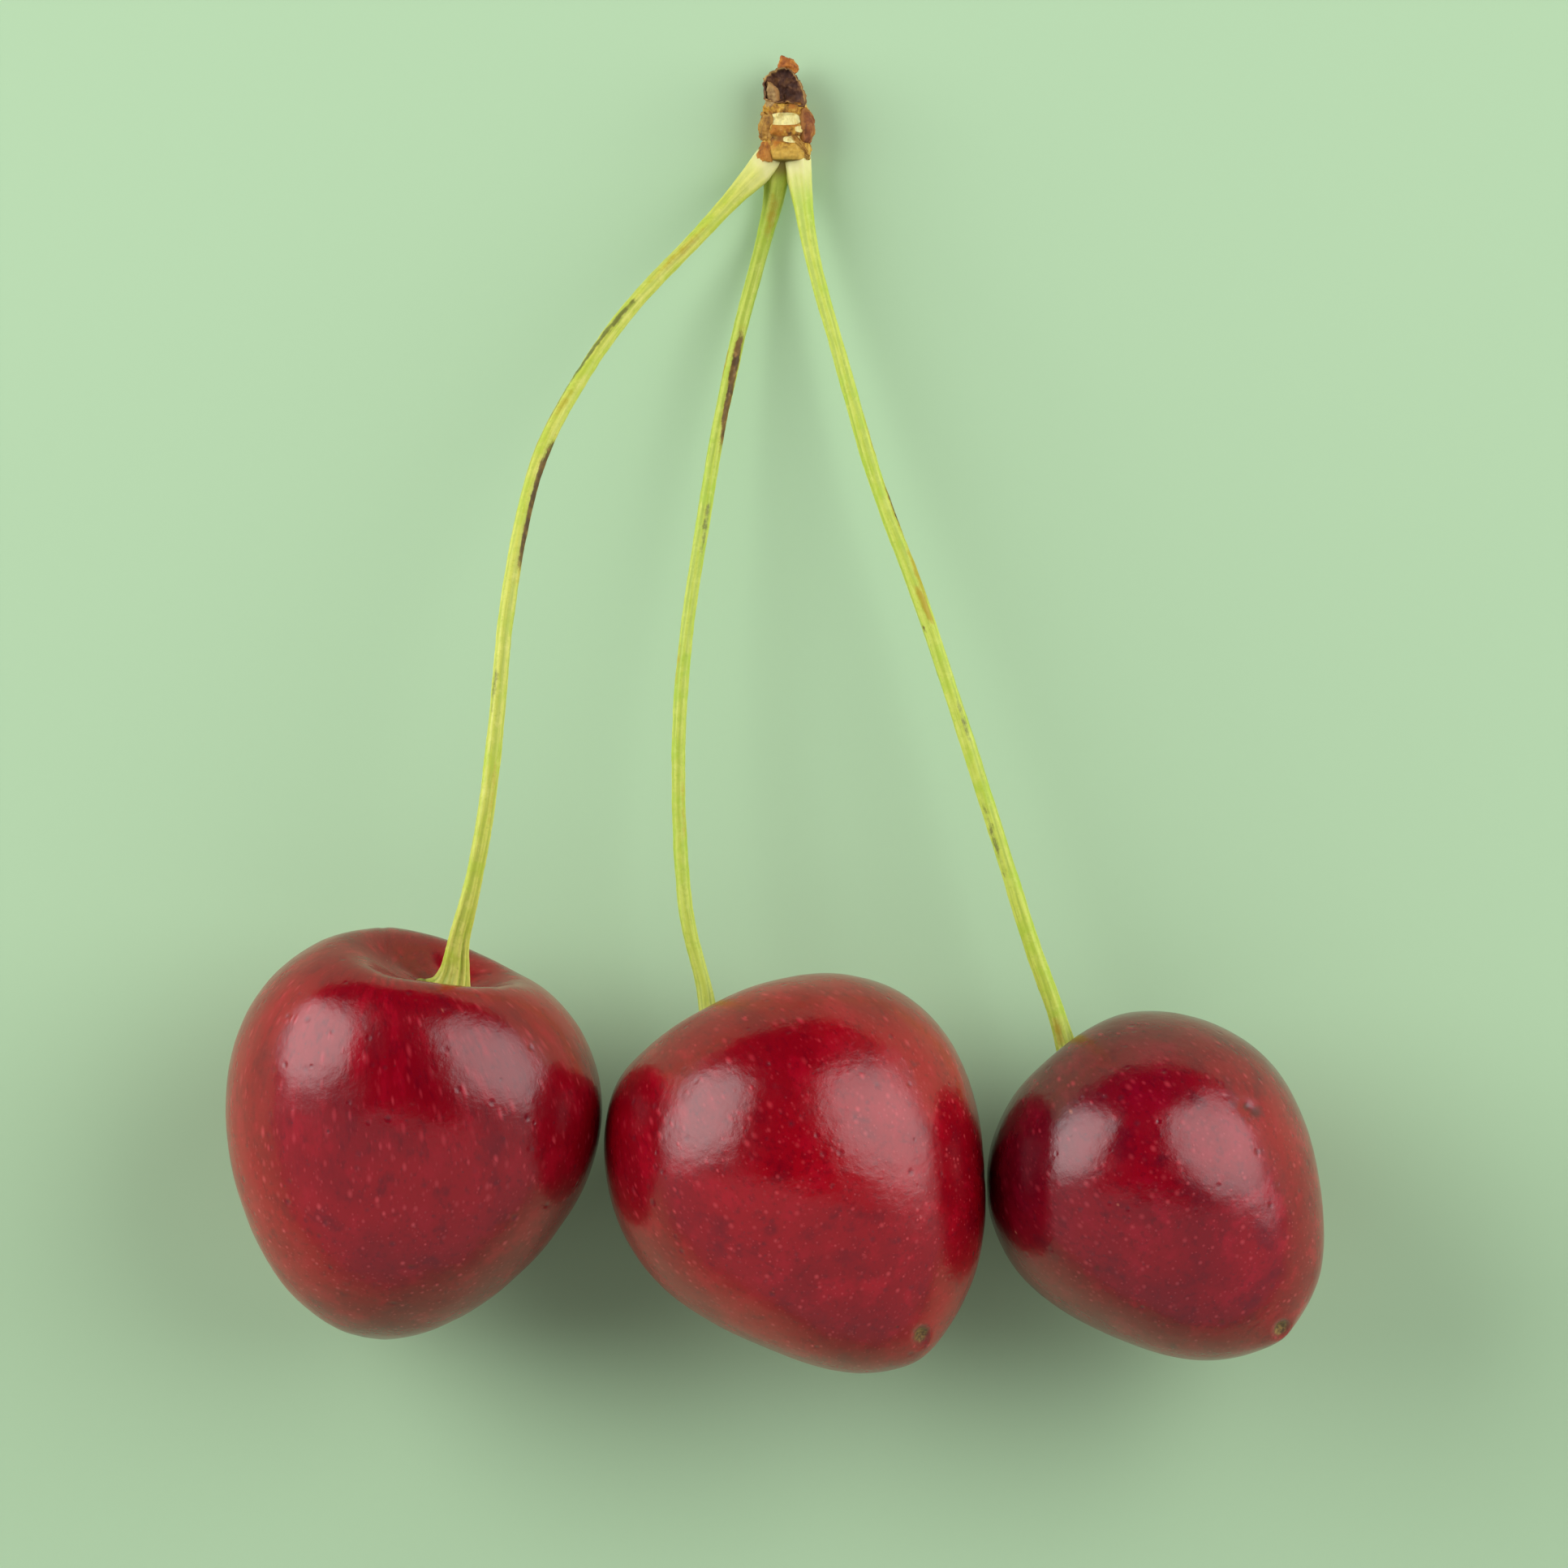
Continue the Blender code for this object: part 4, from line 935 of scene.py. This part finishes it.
def make_cup(rows=34, cols=120):
    """The hollow scale: curled round the spur and open to the top, its inside painted dark as shade."""
    a = np.linspace(0, 2 * math.pi, cols, endpoint=False)
    reach = np.interp(np.degrees(a), [k for k, _ in CUP_RIM], [v for _, v in CUP_RIM], period=360.0)
    w = np.array((1, 4, 6, 4, 1)) / 16.0
    reach = np.convolve(np.concatenate((reach[-2:], reach, reach[:2])), w, mode="valid")
    reach = reach * (1 + 0.020 * np.sin(11 * a) + 0.018 * np.sin(19 * a + 1.0) + 0.012 * np.sin(31 * a + 2.0))

    def at(k, z):
        x, d = reach * np.cos(a) * k - 0.02, 4.30 + reach * np.sin(a) * k
        return np.stack((SPUR_X + x, SPUR_Y + d, SPUR_Z + z), -1), x, d

    _, x, d = at(1.0, 0 * a)
    rim = 0.80 + 0.36 * (1 - (x / 1.45) ** 2) * (1 - 0.35 * soft(d, 4.2, 5.5))
    rim = rim + 0.05 * np.sin(9 * a + 0.5) + 0.04 * np.sin(17 * a)
    side = np.abs((np.degrees(a) - 15 + 180) % 360 - 180)
    strong = 0.25 + 0.75 * np.maximum(1 - soft(side, 45, 75), 1 - soft(np.abs(np.degrees(a) - 122), 18, 40))
    rings, dark, lip = [], [], []
    for k in np.linspace(0.0, 1.0, rows):             # inside, from the floor to the rim
        deep = 0.50 - 0.07 * np.cos(3 * k + a)
        z = deep + (rim - deep) * k ** 4.5 + 0.07 * np.sin(3 * a + 5 * k) * k * (1 - k) * 4
        rings.append(at(max(k, 0.015) * (0.88 + 0.05 * k), z)[0])
        # these inside rings take the dark tones: painted shade
        dark.append(np.full(cols, 1.0))
        lip.append(strong * k ** 6)
    for k in np.linspace(0.15, 1.0, rows):            # over the lip and down the outside
        z = rim + 0.06 * math.sin(math.pi * min(1.0, 2.5 * k)) - (rim + 0.70) * max(0.0, k - 0.30) ** 1.2 / 0.70 ** 1.2
        rings.append(at(0.93 + 0.09 * soft(np.array(k), 0.15, 0.42) - 0.16 * max(0.0, k - 0.5), z)[0])
        dark.append(np.zeros(cols))
        lip.append(strong * max(0.0, 1 - 3.0 * (k - 0.15)))
    p = np.array(rings)
    n_rows = len(rings)
    keep = np.ones(n_rows)
    keep[0] = 0
    rough = (0.050 * waves(p, 0.65, 8.1, 12) + 0.030 * waves(p, 0.28, 9.3, 14)) * keep[:, None]
    p = p + np.array((0.3, 0.3, 1.0)) * rough[..., None]
    n = n_rows * cols
    pts = np.concatenate((p.reshape(-1, 3), p[:1].mean(1), p[-1:].mean(1)))
    faces = grid_faces(n_rows, cols, True).tolist()
    for j in range(cols):
        k = (j + 1) % cols
        faces.append((n, k, j))
        faces.append((n + 1, n - cols + j, n - cols + k))
    ob = mesh_object("bud_scale_hollow_cup", to_row(pts), faces)
    face_out(ob)
    add_float(ob, "edge", np.concatenate((np.array(lip).ravel(), [0, 0])))
    add_float(ob, "inside", np.concatenate((np.array(dark).ravel(), [1, 0])))
    wood = np.stack((p[..., 0] - SPUR_X + 0.25 * (p[..., 1] - SPUR_Y), p[..., 2], p[..., 1] - SPUR_Y), -1).reshape(-1, 3)
    add_vector(ob, "wood", np.concatenate((wood, [[0, 0, 0], [0, 0, 0]])))
    return ob


def scale_material(name, dark, mid, light, rim, seed, outside=None):
    g = Graph(name)
    w = g.attr("wood", "Vector")
    a, b, d = g.split(w)
    p = g.vmath("ADD", g.vmath("SCALE", g.coords(), scale=1000.0), (seed, seed * 0.7, 0.0))
    fib = g.noise(g.join(g.math("MULTIPLY", a, 3.0), b, g.math("MULTIPLY", d, 0.7)), 2.2, 4.0, 0.62)
    patch = g.noise(p, 1.5, 3.0, 0.6)
    crumb = g.noise(p, 5.0, 4.0, 0.7)
    body = g.ramp(patch, ((0.30, dark), (0.50, mid), (0.72, light)))
    body = g.mix(g.fit(fib, 0.50, 0.75, 0.0, 0.6), body, dark)
    # where an outside is given, the inside keeps the darker tones as painted shade and the outside gets the shell
    # tones
    if outside is not None:
        shell = g.ramp(patch, ((0.34, mid), (0.54, outside), (0.70, rim)))
        shell = g.mix(g.fit(fib, 0.55, 0.75, 0.0, 0.5), shell, dark)
        body = g.mix(g.attr("inside"), shell, body)
    body = g.mix(g.fit(g.math("ADD", g.attr("edge"), g.math("MULTIPLY", g.math("SUBTRACT", crumb, 0.5), 0.7)),
                       0.55, 1.0, 0.0, 0.85), body, rim)
    g.put(g.bsdf.inputs["Base Color"], body)
    g.put(g.bsdf.inputs["Roughness"], g.fit(crumb, 0.2, 0.8, 0.58, 0.82))
    g.bsdf.inputs["Specular IOR Level"].default_value = 0.35
    height = g.math("ADD", g.math("MULTIPLY", fib, 0.7), g.math("MULTIPLY", crumb, 0.4))
    g.put(g.bsdf.inputs["Normal"], g.bump(height, 0.00010, 0.8))
    return g.mat


# ----------------------------------------------------------------- build ---
def finish_piece(ob, node, mat):
    ob.data.materials.clear()
    ob.data.materials.append(mat)
    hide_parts(node)
    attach(ob, "root")


SKINS = {   # bright, deep, how much darker towards the stalk, pores
    "cherry_left": ((0.285, 0.0006, 0.0070), (0.205, 0.0004, 0.0060), (0.94, 0.9, 1.0), 1.0, "cherry_skin"),
    "cherry_middle": ((0.325, 0.0006, 0.0070), (0.250, 0.0004, 0.0060), (0.80, 0.8, 0.9), 0.9, "cherry_skin"),
    "cherry_right": ((0.275, 0.0008, 0.0085), (0.195, 0.0006, 0.0075), (0.58, 0.7, 0.9), 0.75, "cherry_skin_dark"),
}
for node, (bright, deep, top, spots, slot) in SKINS.items():
    fruit = make_cherry(node)
    finish_piece(fruit, node, skin_material(node + "_skin", CHERRIES[node], bright, deep, top, spots))

GREENS = {"stalk_left": (0.560, 0.580, 0.095), "stalk_middle": (0.500, 0.580, 0.080),
          "stalk_right": (0.520, 0.600, 0.080)}
# the middle stalk's top gets painted shadow where it goes in behind the other two
for node, green in GREENS.items():
    finish_piece(make_stalk(node), node, stem_material(node + "_rind", green, STEM_FORM[node]["lump"],
                                                          1.0 if node == "stalk_middle" else 0.0))

finish_piece(make_stump(), "spur_stump", bark_material())
BROWNS = {   # dark, middle, light, rim
    "bud_scale_lower_left": ((0.17, 0.050, 0.008), (0.42, 0.150, 0.018), (0.56, 0.270, 0.045), (0.46, 0.20, 0.03)),
    "bud_scale_lower_right": ((0.14, 0.050, 0.010), (0.36, 0.170, 0.024), (0.52, 0.300, 0.060), (0.56, 0.35, 0.09)),
    "bud_scale_left": ((0.12, 0.045, 0.010), (0.33, 0.155, 0.022), (0.52, 0.300, 0.060), (0.42, 0.22, 0.04)),
    "bud_scale_right": ((0.10, 0.028, 0.012), (0.25, 0.075, 0.020), (0.42, 0.180, 0.035), (0.36, 0.15, 0.03)),
    "bud_scale_upper_left": ((0.13, 0.060, 0.018), (0.38, 0.235, 0.085), (0.54, 0.380, 0.170), (0.34, 0.17, 0.05)),
    "bud_scale_tip": ((0.19, 0.045, 0.010), (0.46, 0.150, 0.020), (0.62, 0.300, 0.050), (0.34, 0.09, 0.02)),
}
for i, (node, tones) in enumerate(BROWNS.items()):
    finish_piece(make_scale(node), node, scale_material(node + "_dry", *tones, 3.7 * i))
# the cup's dark, middle and light tones are far darker than its outside: painted shade inside the hollow
finish_piece(make_cup(), "bud_scale_hollow",
             scale_material("bud_scale_hollow_dry", (0.035, 0.012, 0.008), (0.085, 0.032, 0.018),
                            (0.25, 0.115, 0.045), (0.50, 0.31, 0.095), 31.0, (0.24, 0.115, 0.032)))

# ----------------------------------------------------------------- stage ---
scene = bpy.context.scene
floor = mesh_object("floor", [(-3, -3, 0), (3, -3, 0), (3, 3, 0), (-3, 3, 0)], [(0, 1, 2, 3)], smooth=False)
g = Graph("floor_paint")
tone = g.noise(g.coords(), 14.0, 2.0)
g.put(g.bsdf.inputs["Base Color"], g.mix(tone, (0.424, 0.612, 0.384), (0.436, 0.625, 0.396)))
g.bsdf.inputs["Roughness"].default_value = 0.9
g.bsdf.inputs["Specular IOR Level"].default_value = 0.1
floor.data.materials.append(g.mat)


def softbox(name, azimuth, height, distance, size, radiance):
    """A soft lamp at a bearing from straight up (towards +X), raised towards
    +Y. It is brightest in the middle, as cloth in front of a lamp is."""
    lamp = bpy.data.lights.new(name, "AREA")
    lamp.shape = "RECTANGLE"
    lamp.size, lamp.size_y = size
    lamp.energy = radiance * math.pi * size[0] * size[1]
    lamp.use_nodes = True
    tree = lamp.node_tree
    tree.nodes.clear()
    geo = tree.nodes.new("ShaderNodeNewGeometry")
    sub = tree.nodes.new("ShaderNodeVectorMath")
    sub.operation = "SUBTRACT"
    sub.inputs[1].default_value = (0.5, 0.5, 0.0)
    tree.links.new(geo.outputs["Parametric"], sub.inputs[0])
    sep = tree.nodes.new("ShaderNodeSeparateXYZ")
    tree.links.new(sub.outputs[0], sep.inputs[0])
    total = None
    for k in (0, 1):
        absolute = tree.nodes.new("ShaderNodeMath")
        absolute.operation = "ABSOLUTE"
        tree.links.new(sep.outputs[k], absolute.inputs[0])
        power = tree.nodes.new("ShaderNodeMath")
        power.operation = "POWER"
        power.inputs[1].default_value = 3.0
        tree.links.new(absolute.outputs[0], power.inputs[0])
        if total is None:
            total = power.outputs[0]
        else:
            add = tree.nodes.new("ShaderNodeMath")
            tree.links.new(total, add.inputs[0])
            tree.links.new(power.outputs[0], add.inputs[1])
            total = add.outputs[0]
    fall = tree.nodes.new("ShaderNodeMapRange")
    fall.interpolation_type = "SMOOTHSTEP"
    fall.inputs["From Min"].default_value = 0.000
    fall.inputs["From Max"].default_value = 0.140
    fall.inputs["To Min"].default_value = 1.0
    fall.inputs["To Max"].default_value = 0.12
    tree.links.new(total, fall.inputs["Value"])
    glow = tree.nodes.new("ShaderNodeEmission")
    tree.links.new(fall.outputs[0], glow.inputs["Strength"])
    out = tree.nodes.new("ShaderNodeOutputLight")
    tree.links.new(glow.outputs[0], out.inputs[0])
    ob = bpy.data.objects.new(name, lamp)
    scene.collection.objects.link(ob)
    a, e = math.radians(azimuth), math.radians(height)
    way = Vector((math.sin(a) * math.cos(e), math.sin(e), math.cos(a) * math.cos(e)))
    ob.location = Vector((0.0, -0.028, 0.012)) + way * distance
    across = Vector((0.0, 1.0, 0.0)).cross(way).normalized()
    up = way.cross(across)
    ob.matrix_world = Matrix.Translation(ob.location) @ Matrix((across, up, way)).transposed().to_4x4()
    ob.visible_camera = False
    return ob


softbox("softbox_left", -59.0, 21.0, 0.50, (0.54, 0.55), 4.4)
softbox("softbox_right", 54.0, 21.0, 0.50, (0.66, 0.55), 3.3)
for side in (-1, 1):
    # low lamps to either side shape the fruits without a highlight of their own
    low = softbox("side_lamp", side * 82.0, 14.0, 0.60, (0.24, 0.40), 5.5)
    low.visible_glossy = False

# the room: a pale table on the near side (-Y), dim on the far side
world = bpy.data.worlds.new("studio")
scene.world = world
world.use_nodes = True
tree = world.node_tree
tree.nodes.clear()


def wmath(op, a, b):
    n = tree.nodes.new("ShaderNodeMath")
    n.operation = op
    for k, v in enumerate((a, b)):
        if isinstance(v, bpy.types.NodeSocket):
            tree.links.new(v, n.inputs[k])
        else:
            n.inputs[k].default_value = v
    return n.outputs[0]


where = tree.nodes.new("ShaderNodeTexCoord")
sep = tree.nodes.new("ShaderNodeSeparateXYZ")
tree.links.new(where.outputs["Generated"], sep.inputs[0])
toward = wmath("MAXIMUM", sep.outputs[2], 0.0)
edge = wmath("ADD", sep.outputs[1], wmath("MULTIPLY", wmath("MULTIPLY", toward, toward), 0.26))
fade = tree.nodes.new("ShaderNodeMapRange")
fade.interpolation_type = "SMOOTHSTEP"
tree.links.new(edge, fade.inputs["Value"])
fade.inputs["From Min"].default_value = -0.11
fade.inputs["From Max"].default_value = -0.05
fade.inputs["To Min"].default_value = 0.50
fade.inputs["To Max"].default_value = 0.008
seen = tree.nodes.new("ShaderNodeLightPath")
room = tree.nodes.new("ShaderNodeBackground")
room.inputs["Color"].default_value = (1.0, 0.99, 0.97, 1.0)
tree.links.new(fade.outputs[0], room.inputs["Strength"])
plain = tree.nodes.new("ShaderNodeBackground")
plain.inputs["Color"].default_value = (0.60, 0.70, 0.58, 1.0)
plain.inputs["Strength"].default_value = 1.0
both = tree.nodes.new("ShaderNodeMixShader")
tree.links.new(seen.outputs["Is Camera Ray"], both.inputs[0])
tree.links.new(room.outputs[0], both.inputs[1])
tree.links.new(plain.outputs[0], both.inputs[2])
out = tree.nodes.new("ShaderNodeOutputWorld")
tree.links.new(both.outputs[0], out.inputs["Surface"])

cam = bpy.data.cameras.new("camera")
cam.sensor_width = 36.0
cam.lens = 36.0 * 600.0 / 96.6
cam.clip_start, cam.clip_end = 0.01, 20.0
cam.dof.use_dof = False
camera = bpy.data.objects.new("camera", cam)
camera.location = (-DATUM[0] * MM, -DATUM[1] * MM, 0.612)
camera.rotation_euler = (0.0, 0.0, 0.0)
scene.collection.objects.link(camera)
scene.camera = camera

scene.view_settings.view_transform = "Standard"
scene.view_settings.look = "None"
scene.view_settings.exposure = 0.0
scene.view_settings.gamma = 1.0

bpy.context.view_layer.update()
